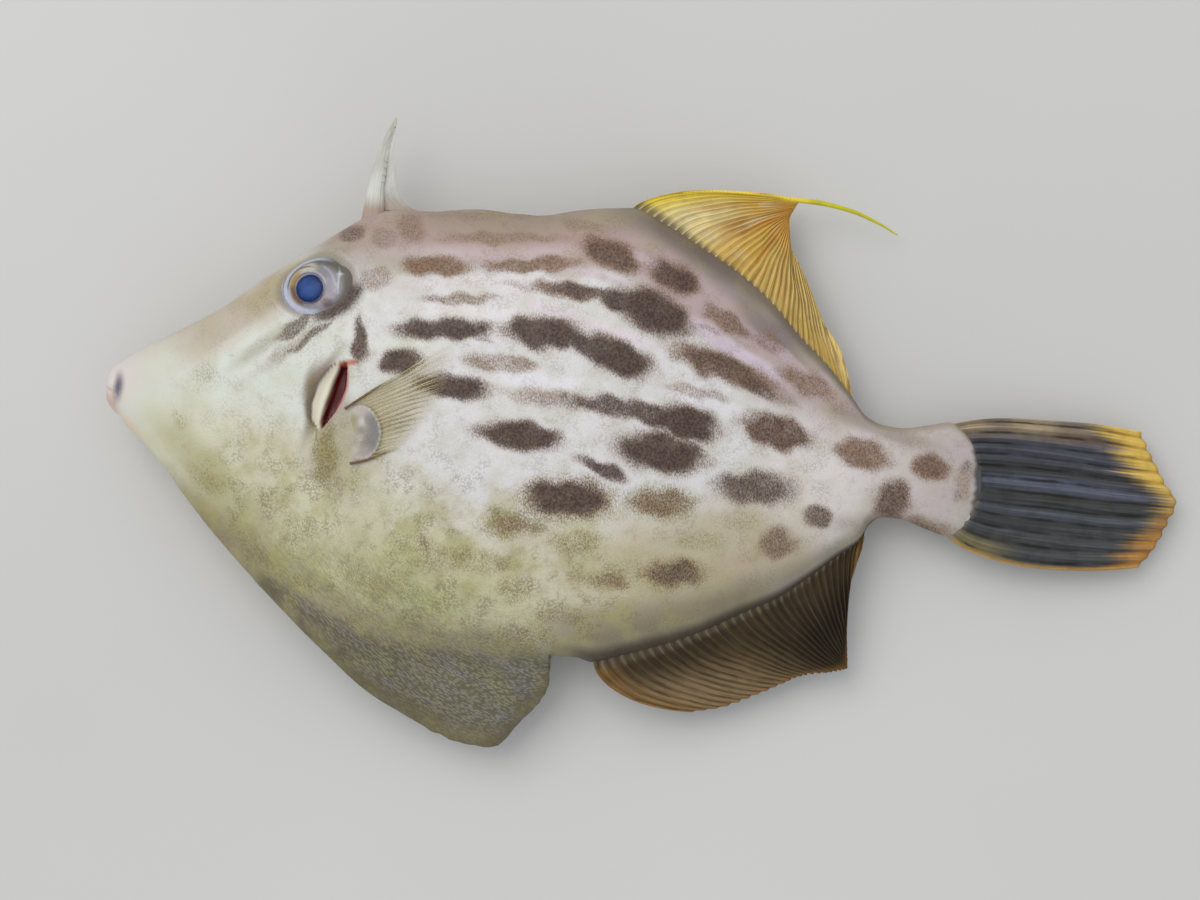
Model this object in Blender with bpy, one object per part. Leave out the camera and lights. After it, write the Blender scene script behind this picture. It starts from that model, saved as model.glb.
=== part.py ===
"""Threadsail filefish, life size, lying at rest on its right flank.

The snout points to -X, the back to +Y and the left flank up to +Z.
Lengths in the tables are millimetres; meshes are made in metres.
"""
import math

import bmesh
import bpy
import numpy as np
from mathutils import Matrix

MM = 0.001
GAP = 0.3
PLAN_CENTRE = (0.9, -0.3)

# Ribs of the body from the lip groove to the end of the tail base. Each rib is a
# straight line in plan from the back to the belly edge, with an oval section on it:
# back x, back y, belly x, belly y, half width, widest level, mid height, belly floor
RIBS = (
    (-87.9, 11.2, -87.9, 2.8, 3.3, 0.50, 10.5, 1),
    (-86.4, 12.6, -86.6, 0.6, 4.0, 0.47, 10.6, 1),
    (-82.9, 14.6, -84.3, -1.6, 4.9, 0.43, 10.8, 1),
    (-77.2, 17.4, -80.5, -6.1, 5.9, 0.40, 11.0, 1),
    (-70.7, 20.8, -76.6, -11.4, 6.9, 0.37, 11.2, 1),
    (-62.9, 26.1, -72.7, -16.4, 8.0, 0.34, 11.4, 1),
    (-55.5, 30.6, -69.5, -20.1, 8.9, 0.32, 11.6, 1),
    (-49.9, 34.0, -67.1, -22.8, 9.6, 0.32, 11.8, 1),
    (-46.0, 36.1, -65.7, -24.3, 10.0, 0.33, 11.9, 1),
    (-41.5, 37.1, -64.7, -25.5, 9.9, 0.35, 12.1, 1),
    (-34.9, 36.9, -63.5, -26.8, 10.0, 0.37, 12.2, 1),
    (-31.9, 37.1, -54.5, -35.9, 10.1, 0.38, 12.3, 1),
    (-29.3, 37.2, -45.7, -44.4, 10.6, 0.40, 12.0, 0.93),
    (-26.6, 37.2, -36.0, -50.4, 11.4, 0.41, 11.3, 0.873),
    (-23.9, 36.9, -29.2, -53.0, 11.8, 0.41, 10.9, 0.845),
    (-21.9, 36.6, -25.1, -53.5, 11.9, 0.41, 10.8, 0.837),
    (-20.4, 36.5, -20.7, -49.4, 12.0, 0.41, 10.8, 0.876),
    (-19.0, 36.4, -17.2, -45.8, 12.0, 0.41, 10.8, 0.914),
    (-17.7, 36.3, -15.7, -42.7, 12.0, 0.41, 10.8, 0.943),
    (-16.3, 36.4, -15.5, -39.9, 12.0, 0.41, 10.8, 0.975),
    (-15.3, 36.5, -15.1, -37.8, 12.0, 0.41, 10.8, 1),
    (-11.1, 37.2, -11.4, -38.0, 11.9, 0.41, 10.8, 1),
    (-6.4, 37.6, -8.1, -38.9, 11.6, 0.41, 10.8, 1),
    (-1.7, 37.7, -3.3, -37.8, 11.1, 0.42, 10.7, 1),
    (4.4, 34.7, 3.1, -36.2, 10.3, 0.43, 10.5, 1),
    (10.2, 31.0, 9.8, -34.0, 9.3, 0.44, 10.2, 1),
    (16.1, 27.0, 16.6, -31.0, 8.2, 0.45, 9.8, 1),
    (21.7, 22.1, 22.6, -28.5, 7.1, 0.46, 9.4, 1),
    (26.8, 16.1, 27.9, -25.1, 6.1, 0.47, 9.0, 1),
    (31.6, 11.1, 33.0, -21.4, 5.2, 0.48, 8.7, 1),
    (35.7, 5.9, 36.8, -18.7, 4.6, 0.49, 8.4, 1),
    (38.1, 2.7, 38.8, -15.7, 4.2, 0.50, 8.2, 1),
    (41.2, 1.1, 40.9, -14.6, 3.9, 0.50, 8.0, 1),
    (44.8, 0.6, 44.0, -14.9, 3.6, 0.50, 7.8, 1),
    (48.8, 1.1, 47.9, -16.4, 3.3, 0.50, 7.6, 1),
    (52.5, 1.6, 52.2, -17.8, 2.7, 0.50, 7.4, 1),
    (55.1, -0.2, 54.8, -16.2, 2.1, 0.50, 7.3, 1),
    (56.7, -2.8, 56.5, -14.0, 1.6, 0.50, 7.2, 1),
    (57.4, -5.8, 57.4, -11.5, 1.1, 0.50, 7.2, 1),
)
GILL_RIB = 10
TAIL_RIB = 31
LAST_RIB = len(RIBS) - 1
SECTION_POWER = 2.2
BACK_ROUND = 0.55
BELLY_ROUND = 0.66
FLAP_HALF = 1.5
FLAP_EDGE_HALF = 0.7
FLAP_DROOP = 3.0
FLAP_FULL_DEPTH = 0.1
FLAP_RIBS = (11.2, 19.6)

EYE_CENTRE = (-54.7, 24.9)
EYE_RADII = (7.0, 5.9, 3.9)
EYE_TILT = math.radians(20.0)
EYE_SINK = 2.3
ORBIT_RING = 0.9
ORBIT_SHARE = 0.84
ORBIT_SINK = 0.45

SLIT_PATH = ((-48.3, 11.2), (-49.7, 9.4), (-51.1, 6.7), (-52.1, 4.1), (-53.1, 1.4))
SLIT_RADII = (0.5, 1.3, 1.75, 1.6, 0.5)
SLIT_SINK = 0.5
NOSTRILS = ((-61.0, 24.6, 0.55), (-60.2, 23.2, 0.7))
NOSTRIL_DEPTH = 0.9

UPPER_LIP = (
    (-88.2, 11.1, -88.2, 7.3, 3.1, 10.5),
    (-89.0, 10.4, -89.1, 7.4, 2.6, 10.5),
    (-89.5, 9.4, -89.6, 7.7, 1.7, 10.5),
)
LOWER_LIP = (
    (-88.2, 7.0, -88.2, 2.9, 3.1, 10.5),
    (-89.4, 6.9, -89.2, 3.7, 2.6, 10.5),
    (-90.1, 6.6, -90.0, 4.8, 1.7, 10.5),
)
LIP_SQUARE = 0.6
LIP_ROUND = 0.8

SPINE_PATH = ((-45.0, 36.9, 11.8), (-44.7, 40.5, 11.6), (-43.9, 45.0, 11.2),
              (-42.7, 49.6, 10.6), (-41.5, 53.0, 10.0))
SPINE_RADII = (1.45, 1.3, 1.15, 0.8, 0.3)
SPINE_WEB_FRONT = ((-44.0, 45.0), (-44.3, 41.2), (-44.2, 38.2))
SPINE_WEB_FOOT = ((-43.6, 38.2), (-40.9, 38.0), (-38.6, 37.7), (-36.9, 37.5))
SPINE_WEB_HEIGHT = 11.5
SPINE_WEB_EDGE = ((-42.6, 45.0), (-41.6, 41.2), (-39.6, 38.9), (-36.9, 37.5))
BARB_SHARES = (0.38, 0.93)
BARB_COUNT = 8
BARB_LENGTH = 0.9
BARB_HALF = 0.35
BARB_SINK = 0.8

TERMINUS_PATH = ((-35.0, -50.1), (-31.9, -51.3), (-29.2, -52.2), (-26.6, -52.6))
TERMINUS_LEAN = math.radians(-20.0)
TERMINUS_HEIGHT = 8.0
TERMINUS_SIZES = ((1.7, 0.8, 1.0), (1.9, 0.9, 1.15), (2.0, 1.0, 1.25), (1.6, 1.0, 1.1))

DORSAL_RIBS = (23.0, 30.2)
DORSAL_MARGIN = ((27.1, 39.4), (26.3, 38.2), (25.3, 35.9), (25.4, 32.2), (27.0, 28.4),
                 (28.9, 23.8), (31.0, 18.6), (34.0, 13.5), (35.7, 7.4))
DORSAL_TIPS = ((0.0, 0.0), (0.5, 0.1), (0.72, 0.22), (0.85, 0.36), (0.93, 0.52), (1.0, 0.95))
DORSAL_BOW = ((0.0, 7.6), (0.2, 4.6), (0.45, 0.6), (0.75, -1.2), (1.0, -0.2))
DORSAL_TIP_HEIGHT = ((0.0, 7.0), (0.6, 7.2), (1.0, 8.2))
DORSAL_RAYS = 35
FILAMENT_PATH = ((26.2, 39.3, 7.0), (30.5, 39.1, 6.3), (35.8, 37.9, 5.4), (41.0, 35.7, 4.4),
                 (44.2, 33.9, 3.5))
FILAMENT_RADII = (0.5, 0.42, 0.36, 0.3, 0.2)

ANAL_RIBS = (22.0, 30.9)
ANAL_MARGIN = ((8.6, -47.9), (13.4, -47.2), (21.6, -44.2), (27.4, -41.8), (35.3, -40.3),
               (35.0, -34.1), (35.4, -26.9), (37.0, -21.4), (38.4, -17.4))
ANAL_TIPS = ((0.0, 0.0), (0.15, 0.2), (0.3, 0.35), (0.65, 0.54), (0.8, 0.6), (0.9, 0.68), (1.0, 0.95))
ANAL_BOW = ((0.0, 8.4), (0.3, 5.2), (0.65, 3.4), (0.85, 1.4), (1.0, 0.2))
ANAL_TIP_HEIGHT = ((0.0, 6.2), (0.6, 6.2), (1.0, 8.0))
ANAL_RAYS = 34

CAUDAL_TIPS = ((85.9, 0.0), (88.0, -4.8), (89.9, -8.6), (91.9, -12.2),
               (90.4, -15.8), (88.2, -19.9), (85.4, -23.3))
CAUDAL_BOW = ((0.0, -5.2), (0.12, -3.2), (0.3, -1.2), (0.5, 0.2), (0.7, 2.4), (0.88, 6.0), (1.0, 10.2))
CAUDAL_TIP_HEIGHT = 4.6
CAUDAL_ROOT_RIB = 35
CAUDAL_RAYS = 12

PECTORAL_ROOT = (-45.6, 0.0)
PECTORAL_RAYS = 13
PECTORAL_FAN = math.radians(48.0), math.radians(-30.0)
PECTORAL_RIGHT_FAN = math.radians(-48.0), math.radians(-104.0)
PECTORAL_REACH = ((0.0, 20.3), (0.15, 20.2), (0.45, 14.0), (0.7, 9.4), (1.0, 6.6))
PECTORAL_LOBE = 2.8
PECTORAL_LOBE_BACK = 2.6
PECTORAL_LOBE_ARC = 1.2
PECTORAL_LOBE_HALF = 4.4
PECTORAL_ROOT_HALF = 1.6
PECTORAL_LOBE_THICK = 1.1
PECTORAL_LOBE_END = 0.4
PECTORAL_SWELL_END = 0.62
PECTORAL_WEB = 0.55
PECTORAL_LIFT = 0.38
PRESSED_WEB = 0.5
PRESSED_SHARE = 0.2

MEMBRANE_HALF = 0.27
RAY_RIDGE = 0.24
ROOT_SWELL = 0.25
RIDGE_FADE = 0.6
CROWDED_RAY = 0.35
BOW_RISE = 0.6
DROOP_POWER = 1.4


def clear_scene():
    """Remove every object that the file opened with."""
    for item in list(bpy.data.objects):
        bpy.data.objects.remove(item, do_unlink=True)


def collection(name):
    """Make a collection under the scene's own."""
    group = bpy.data.collections.new(name)
    bpy.context.scene.collection.children.link(group)
    return group


def material(name, colour, roughness):
    """Make a Principled material of one colour."""
    surface = bpy.data.materials.new(name)
    surface.use_nodes = True
    shader = surface.node_tree.nodes["Principled BSDF"]
    shader.inputs["Base Color"].default_value = (*colour, 1.0)
    shader.inputs["Roughness"].default_value = roughness
    shader.inputs["Metallic"].default_value = 0.0
    return surface


def smooth(knots, values, at):
    """Read values between knots by a cubic that never overshoots them."""
    knots, values, at = (np.asarray(a, float) for a in (knots, values, at))
    step = np.diff(knots)
    slope = np.diff(values, axis=0) / step.reshape((-1,) + (1,) * (values.ndim - 1))
    product = slope[1:] * slope[:-1]
    inner = np.where(product > 0, 2 * product / (slope[1:] + slope[:-1] + 1e-12), 0)
    tangent = np.concatenate([slope[:1], inner, slope[-1:]])
    i = np.clip(np.searchsorted(knots, at, side="right") - 1, 0, len(step) - 1)
    u = (at - knots[i]) / step[i]
    h = step[i]
    if values.ndim > 1:
        u, h = u[..., None], h[..., None]
    return ((1 + 2 * u) * (1 - u) ** 2 * values[i] + u * (1 - u) ** 2 * h * tangent[i]
            + u * u * (3 - 2 * u) * values[i + 1] + u * u * (u - 1) * h * tangent[i + 1])


def along(points, at):
    """Read a smooth path through the points at shares of its length."""
    points = np.asarray(points, float)
    run = np.concatenate([[0], np.cumsum(np.linalg.norm(np.diff(points, axis=0), axis=1))])
    return smooth(run / run[-1], points, at)


def key(pairs, at):
    """Read a curve given as pairs of place and value."""
    pairs = np.asarray(pairs, float)
    return smooth(pairs[:, 0], pairs[:, 1], at)


RIB_TABLE = np.array(RIBS)
RIB_STEP = 0.5 * (np.linalg.norm(np.diff(RIB_TABLE[:, 0:2], axis=0), axis=1)
                  + np.linalg.norm(np.diff(RIB_TABLE[:, 2:4], axis=0), axis=1))
RIB_PLACE = np.concatenate([[0], np.cumsum(RIB_STEP)])


def place(rib):
    """Turn a rib number, whole or not, into a distance along the body."""
    return np.interp(rib, np.arange(len(RIBS)), RIB_PLACE)


def body(at, level):
    """Plan x and y, mid height and half width on the body at a distance along it and a level
    from the back (0) to the belly edge (1).

    The section is an oval that is widest at its own level, and below the belly floor it
    thins into the flap, whose edge droops.
    """
    at, level = np.broadcast_arrays(np.asarray(at, float), np.asarray(level, float))
    row = smooth(RIB_PLACE, RIB_TABLE, at)
    back, belly = row[..., 0:2], row[..., 2:4]
    width, widest, middle, floor = (row[..., k] for k in range(4, 8))
    widest = widest * floor
    plan = back + (belly - back) * level[..., None]
    reach = np.where(level < widest, (widest - level) / widest, (level - widest) / (floor - widest))
    flap = np.clip((1 - floor) / FLAP_FULL_DEPTH, 0, 1)
    power = np.where(level < widest, BACK_ROUND, BELLY_ROUND)
    oval = width * np.clip(1 - reach ** SECTION_POWER, 0, 1) ** power
    beyond = np.clip((level - floor) / np.maximum(1 - floor, 1e-6), 0, 1)
    rounding = np.sqrt(np.clip(1 - beyond ** 12, 0, 1))
    blade = (FLAP_HALF + (FLAP_EDGE_HALF - FLAP_HALF) * beyond) * rounding * flap
    half = (oval ** 3 + blade ** 3) ** (1 / 3)
    return plan, middle - FLAP_DROOP * flap * beyond ** 1.5, half


def flank(at, level, side):
    """Points on the left (side 1) or right (side -1) flank, the right one pressed flat below."""
    plan, middle, half = body(at, level)
    height = middle + half if side > 0 else middle - np.minimum(half, middle)
    return np.concatenate([plan, height[..., None]], axis=-1)


def flank_height(x, y, side):
    """Height of a flank over plan points, found on the rib line that passes through each."""
    x, y = np.broadcast_arrays(np.asarray(x, float), np.asarray(y, float))
    steps = np.linspace(0, RIB_PLACE[-1], 900)
    row = smooth(RIB_PLACE, RIB_TABLE, steps)
    run = row[:, 2:4] - row[:, 0:2]
    rel = np.stack([x.ravel(), y.ravel()], axis=1)[:, None, :] - row[None, :, 0:2]
    level = (rel * run).sum(-1) / (run * run).sum(-1)
    miss = np.abs(rel[..., 0] * run[:, 1] - rel[..., 1] * run[:, 0]) / np.linalg.norm(run, axis=1)
    best = np.argmin(miss + 100 * (np.clip(level, 0, 1) != level), axis=1)
    found = flank(steps[best], np.clip(level[np.arange(len(best)), best], 0, 1), side)
    return found[:, 2].reshape(x.shape)


def rounded_levels(count, first, last):
    """Levels between two ends, set closer towards the ends."""
    turn = np.linspace(0, math.pi, count)
    return first + (last - first) * (1 - np.cos(turn)) / 2


def finish(name, vertices, faces, surface, group):
    """Make a closed mesh object from points in millimetres."""
    centred = np.asarray(vertices, float) - np.array([*PLAN_CENTRE, 0.0])
    mesh = bpy.data.meshes.new(name)
    mesh.from_pydata((centred * MM).tolist(), [], [tuple(int(i) for i in f) for f in faces])
    shape = bmesh.new()
    shape.from_mesh(mesh)
    bmesh.ops.remove_doubles(shape, verts=shape.verts, dist=2e-6)
    bmesh.ops.recalc_face_normals(shape, faces=shape.faces)
    shape.to_mesh(mesh)
    shape.free()
    mesh.shade_smooth()
    mesh.materials.append(surface)
    item = bpy.data.objects.new(name, mesh)
    group.objects.link(item)
    return item


def ring_loft(name, rings, surface, group):
    """Join closed rings of equal count in order, and cap both ends."""
    count, size = rings.shape[:2]
    faces = []
    for i in range(count - 1):
        for j in range(size):
            k = (j + 1) % size
            faces.append((i * size + j, i * size + k, (i + 1) * size + k, (i + 1) * size + j))
    faces.append(tuple(range(size))[::-1])
    faces.append(tuple((count - 1) * size + j for j in range(size)))
    return finish(name, rings.reshape(-1, 3), faces, surface, group)


def plate(name, upper, lower, surface, group):
    """Close two like grids into a thin plate, split into the same triangles on both faces."""
    rows, columns = upper.shape[:2]
    total = rows * columns
    faces = []
    for i in range(rows - 1):
        for j in range(columns - 1):
            a = i * columns + j
            b, c, d = a + 1, a + columns + 1, a + columns
            faces += [(a, b, c), (a, c, d)]
            faces += [(a + total, c + total, b + total), (a + total, d + total, c + total)]
    rim = ([(0, j) for j in range(columns)] + [(i, columns - 1) for i in range(1, rows)]
           + [(rows - 1, j) for j in range(columns - 2, -1, -1)] + [(i, 0) for i in range(rows - 2, 0, -1)])
    rim = [i * columns + j for i, j in rim]
    for n, a in enumerate(rim):
        b = rim[(n + 1) % len(rim)]
        faces += [(a, a + total, b + total), (a, b + total, b)]
    return finish(name, np.concatenate([upper.reshape(-1, 3), lower.reshape(-1, 3)]), faces, surface, group)


def tube(path, radii, group, sides=2, samples=9):
    """Sweep a round tube of changing radius along a path, as a closed mesh."""
    share = np.linspace(0, 1, samples)
    points = along(path, share)
    widths = smooth(np.linspace(0, 1, len(radii)), radii, share)
    curve = bpy.data.curves.new("tube", "CURVE")
    curve.dimensions = "3D"
    curve.bevel_depth = MM
    curve.bevel_resolution = sides
    curve.use_fill_caps = True
    line = curve.splines.new("POLY")
    line.points.add(samples - 1)
    for knot, point, width in zip(line.points, points, widths):
        centred = (point - np.array([*PLAN_CENTRE, 0.0])) * MM
        knot.co = (*centred, 1.0)
        knot.radius = width
    guide = bpy.data.objects.new("tube", curve)
    group.objects.link(guide)
    bpy.context.view_layer.update()
    mesh = bpy.data.meshes.new_from_object(guide.evaluated_get(bpy.context.evaluated_depsgraph_get()))
    bpy.data.objects.remove(guide)
    shape = bmesh.new()
    shape.from_mesh(mesh)
    bmesh.ops.remove_doubles(shape, verts=shape.verts, dist=1e-6)
    bmesh.ops.recalc_face_normals(shape, faces=shape.faces)
    shape.to_mesh(mesh)
    shape.free()
    solid = bpy.data.objects.new("tube", mesh)
    group.objects.link(solid)
    return solid


def keep_largest(mesh):
    """Drop every surface but the one with the most faces."""
    shape = bmesh.new()
    shape.from_mesh(mesh)
    unseen = set(shape.faces)
    pieces = []
    while unseen:
        front = [unseen.pop()]
        piece = set(front)
        while front:
            for edge in front.pop().edges:
                for face in edge.link_faces:
                    if face in unseen:
                        unseen.remove(face)
                        piece.add(face)
                        front.append(face)
        pieces.append(piece)
    pieces.sort(key=len)
    loose = [face for piece in pieces[:-1] for face in piece]
    bmesh.ops.delete(shape, geom=loose, context="FACES")
    shape.to_mesh(mesh)
    shape.free()


def combine(item, tools, operation):
    """Join tools to an object, or cut them from it, and keep its one closed surface."""
    helpers = bpy.data.collections.new("helpers")
    for tool in tools:
        for group in list(tool.users_collection):
            group.objects.unlink(tool)
        helpers.objects.link(tool)
        tool.hide_render = True
        tool.display_type = "WIRE"
    bpy.context.scene.collection.children.link(helpers)
    modifier = item.modifiers.new("combine", "BOOLEAN")
    modifier.operand_type = "COLLECTION"
    modifier.collection = helpers
    modifier.operation = operation
    modifier.solver = "EXACT"
    bpy.context.view_layer.update()
    mesh = bpy.data.meshes.new_from_object(item.evaluated_get(bpy.context.evaluated_depsgraph_get()))
    item.modifiers.clear()
    surface = item.data.materials[0]
    item.data = mesh
    mesh.materials.clear()
    mesh.materials.append(surface)
    keep_largest(mesh)
    mesh.shade_smooth()
    for tool in list(helpers.objects):
        bpy.data.objects.remove(tool)
    bpy.data.collections.remove(helpers)


def body_segment(name, first, last, count, points, floor_cut, ends, surface, group):
    """Loft a length of the body between two rib numbers.

    With floor_cut, the section stops on the belly floor, where the flap begins. The values in
    ends move the two end sections lengthways, which leaves the gaps to the next lengths.
    """
    steps = np.linspace(place(first), place(last), count)
    rings = []
    for n, at in enumerate(steps):
        row = smooth(RIB_PLACE, RIB_TABLE, at)
        levels = rounded_levels(points, 0.0, row[7] if floor_cut else 1.0)
        ring = np.concatenate([flank(at, levels, 1), flank(at, levels[::-1], -1)])
        across = (row[2:4] - row[0:2]) / np.linalg.norm(row[2:4] - row[0:2])
        ahead = np.array([-across[1], across[0], 0.0])
        shift = ends[0] if n == 0 else ends[1] if n == count - 1 else 0.0
        rings.append(ring + ahead * shift)
    return ring_loft(name, np.array(rings), surface, group)


def flank_frame(x, y, side):
    """Point and unit directions on a flank: along X, along Y and outwards."""
    reach = 1.0
    here = np.array([x, y, flank_height(x, y, side)])
    run = np.array([2 * reach, 0, flank_height(x + reach, y, side) - flank_height(x - reach, y, side)])
    rise = np.array([0, 2 * reach, flank_height(x, y + reach, side) - flank_height(x, y - reach, side)])
    out = np.cross(run, rise) * side
    out /= np.linalg.norm(out)
    run /= np.linalg.norm(run)
    return here, run, np.cross(out, run) * side, out


def frame_at(centre, axes, radii):
    """A matrix that puts a unit ball or cone at a point, along given axes, in metres."""
    centred = np.asarray(centre, float) - np.array([*PLAN_CENTRE, 0.0])
    frame = Matrix.Identity(4)
    for k in range(3):
        for column in range(3):
            frame[k][column] = axes[column][k] * radii[column] * MM
        frame[k][3] = centred[k] * MM
    return frame


def eye_matrix(side, sink, radii):
    """Place and size of an eye's ovoid, sunk under the flank and tilted in its plane."""
    here, run, rise, out = flank_frame(*EYE_CENTRE, side)
    long = run * math.cos(EYE_TILT) + rise * math.sin(EYE_TILT)
    wide = np.cross(out, long) * side
    return frame_at(here - out * sink, (long, wide, out * side), radii)


def ovoid(name, frame, segments, rings, group):
    """A unit ball given its place and size by a matrix."""
    mesh = bpy.data.meshes.new(name)
    shape = bmesh.new()
    bmesh.ops.create_uvsphere(shape, u_segments=segments, v_segments=rings, radius=1.0)
    bmesh.ops.transform(shape, matrix=frame, verts=shape.verts)
    bmesh.ops.recalc_face_normals(shape, faces=shape.faces)
    shape.to_mesh(mesh)
    shape.free()
    mesh.shade_smooth()
    item = bpy.data.objects.new(name, mesh)
    group.objects.link(item)
    return item


def cone(name, frame, group):
    """A small six-sided cone of unit radius and depth two, given its place by a matrix."""
    mesh = bpy.data.meshes.new(name)
    shape = bmesh.new()
    bmesh.ops.create_cone(shape, cap_ends=True, segments=6, radius1=1.0, radius2=0.15, depth=2.0)
    bmesh.ops.transform(shape, matrix=frame, verts=shape.verts)
    bmesh.ops.recalc_face_normals(shape, faces=shape.faces)
    shape.to_mesh(mesh)
    shape.free()
    item = bpy.data.objects.new(name, mesh)
    group.objects.link(item)
    return item


def orbit_ring(side, group):
    """The skin ring round the eye, an oval torus half sunk in the cheek."""
    long, wide, _ = (radius * ORBIT_SHARE for radius in EYE_RADII)
    bpy.ops.mesh.primitive_torus_add(major_radius=1.0, minor_radius=ORBIT_RING / long,
                                     major_segments=26, minor_segments=6)
    ring = bpy.context.object
    ring.data.transform(eye_matrix(side, ORBIT_SINK, (long, wide, long)))
    for old in list(ring.users_collection):
        old.objects.unlink(ring)
    group.objects.link(ring)
    shape = bmesh.new()
    shape.from_mesh(ring.data)
    bmesh.ops.recalc_face_normals(shape, faces=shape.faces)
    shape.to_mesh(ring.data)
    shape.free()
    return ring


def build_head(group, cutters, skin):
    """Head with its orbit rings, eye sockets, nostrils and gill slits."""
    head = body_segment("head", 0, GILL_RIB, 18, 17, False, (0.0, -GAP / 2), skin, group)
    combine(head, [orbit_ring(1, cutters), orbit_ring(-1, cutters)], "UNION")
    socket = tuple(radius + GAP for radius in EYE_RADII)
    tools = []
    for side in (1, -1):
        tools.append(ovoid("socket", eye_matrix(side, EYE_SINK, socket), 22, 11, cutters))
        slit = [(*p, flank_height(*p, side) - SLIT_SINK * side) for p in SLIT_PATH]
        tools.append(tube(slit, SLIT_RADII, cutters, samples=8))
        for x, y, radius in NOSTRILS:
            here, _, _, out = flank_frame(x, y, side)
            ends = (here - out * NOSTRIL_DEPTH, here + out * NOSTRIL_DEPTH)
            tools.append(tube(ends, (radius * 0.8, radius * 1.2), cutters, samples=2))
    combine(head, tools, "DIFFERENCE")


def build_eyes(group, surface):
    """One ovoid eye in each socket."""
    for side, name in ((1, "eye_left"), (-1, "eye_right")):
        eye = ovoid(name, eye_matrix(side, EYE_SINK, EYE_RADII), 20, 10, group)
        eye.data.materials.append(surface)


def build_lip(name, rows, skin, group):
    """A lip as a few rounded sections that shrink towards the mouth."""
    turn = np.linspace(0, 2 * math.pi, 16, endpoint=False)
    rings = []
    for back_x, back_y, belly_x, belly_y, width, middle in rows:
        centre = np.array([(back_x + belly_x) / 2, (back_y + belly_y) / 2])
        reach = np.array([back_x - belly_x, back_y - belly_y]) / 2
        square = np.abs(np.cos(turn)) ** LIP_SQUARE * np.sign(np.cos(turn))
        plan = centre + reach * square[:, None]
        height = middle + width * np.abs(np.sin(turn)) ** LIP_ROUND * np.sign(np.sin(turn))
        rings.append(np.concatenate([plan, height[:, None]], axis=1))
    return ring_loft(name, np.array(rings), skin, group)


def edge_line(ribs, level, count, outward):
    """Points along the back or belly edge between two ribs, moved out by the gap."""
    steps = np.linspace(place(ribs[0]), place(ribs[1]), count)
    plan, middle, _ = body(steps, level)
    ahead = np.gradient(plan, axis=0)
    ahead /= np.linalg.norm(ahead, axis=1)[:, None]
    out = np.stack([-ahead[:, 1], ahead[:, 0]], axis=1) * outward
    return plan + out * GAP, middle


def ray_fin(name, root, root_height, tips, bow, tip_height, rays, rows, ridge, surface, group):
    """A fin of rays: each ray runs from the root line to the margin in a bowed line.

    The membrane keeps one thickness and every ray stands out of it on both faces as a ridge
    that fades to the margin.
    """
    columns = root.shape[0]
    share = np.linspace(0, 1, columns)
    step = np.linspace(0, 1, rows)[:, None]
    run = tips - root
    side = np.stack([-run[:, 1], run[:, 0]], axis=1)
    side /= np.linalg.norm(side, axis=1)[:, None]
    bend = bow[:, None] * step[..., None] ** BOW_RISE * (1 - step[..., None])
    plan = root + run * step[..., None] + side * bend
    height = root_height + (tip_height - root_height) * step ** DROOP_POWER
    spread = np.gradient(plan, axis=1)
    room = np.clip(np.linalg.norm(spread, axis=2) / CROWDED_RAY, 0.05, 1)
    on_ray = 0.5 + 0.5 * np.cos(2 * math.pi * share * rays)
    half = MEMBRANE_HALF + ridge * on_ray * (1 - RIDGE_FADE * step) * room
    half = half + ROOT_SWELL * (1 - step) ** 4
    upper = np.concatenate([plan, (height + half)[..., None]], axis=2)
    lower = np.concatenate([plan, (height - half)[..., None]], axis=2)
    return plate(name, upper, lower, surface, group)


def build_dorsal_fin(group, cutters, surface, ridge):
    """Soft dorsal fin with its long second ray fused on as a filament."""
    columns = 2 * DORSAL_RAYS + 1
    share = np.linspace(0, 1, columns)
    root, middle = edge_line(DORSAL_RIBS, 0.0, columns, 1)
    tips = along(DORSAL_MARGIN, key(DORSAL_TIPS, share))
    fin = ray_fin("dorsal_fin", root, middle, tips, key(DORSAL_BOW, share), key(DORSAL_TIP_HEIGHT, share),
                  DORSAL_RAYS, 6, ridge, surface, group)
    combine(fin, [tube(FILAMENT_PATH, FILAMENT_RADII, cutters)], "UNION")


def build_anal_fin(group, surface, ridge):
    """Anal fin, swept back to a corner."""
    columns = 2 * ANAL_RAYS + 1
    share = np.linspace(0, 1, columns)
    root, middle = edge_line(ANAL_RIBS, 1.0, columns, -1)
    tips = along(ANAL_MARGIN, key(ANAL_TIPS, share))
    ray_fin("anal_fin", root, middle, tips, -key(ANAL_BOW, share), key(ANAL_TIP_HEIGHT, share),
            ANAL_RAYS, 6, ridge, surface, group)


def build_caudal_fin(group, surface, ridge):
    """Tail fin on the rounded end of the tail base."""
    steps = np.linspace(place(CAUDAL_ROOT_RIB), place(LAST_RIB), 10)
    back = body(steps, 0.0)[0]
    belly = body(steps[::-1], 1.0)[0]
    columns = 4 * CAUDAL_RAYS + 1
    share = np.linspace(0, 1, columns)
    root = along(np.concatenate([back, belly]), share)
    ahead = np.gradient(root, axis=0)
    ahead /= np.linalg.norm(ahead, axis=1)[:, None]
    root = root + np.stack([-ahead[:, 1], ahead[:, 0]], axis=1) * GAP
    tips = along(CAUDAL_TIPS, share)
    ray_fin("caudal_fin", root, RIBS[LAST_RIB][6], tips, -key(CAUDAL_BOW, share), CAUDAL_TIP_HEIGHT,
            CAUDAL_RAYS, 7, ridge, surface, group)


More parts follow.
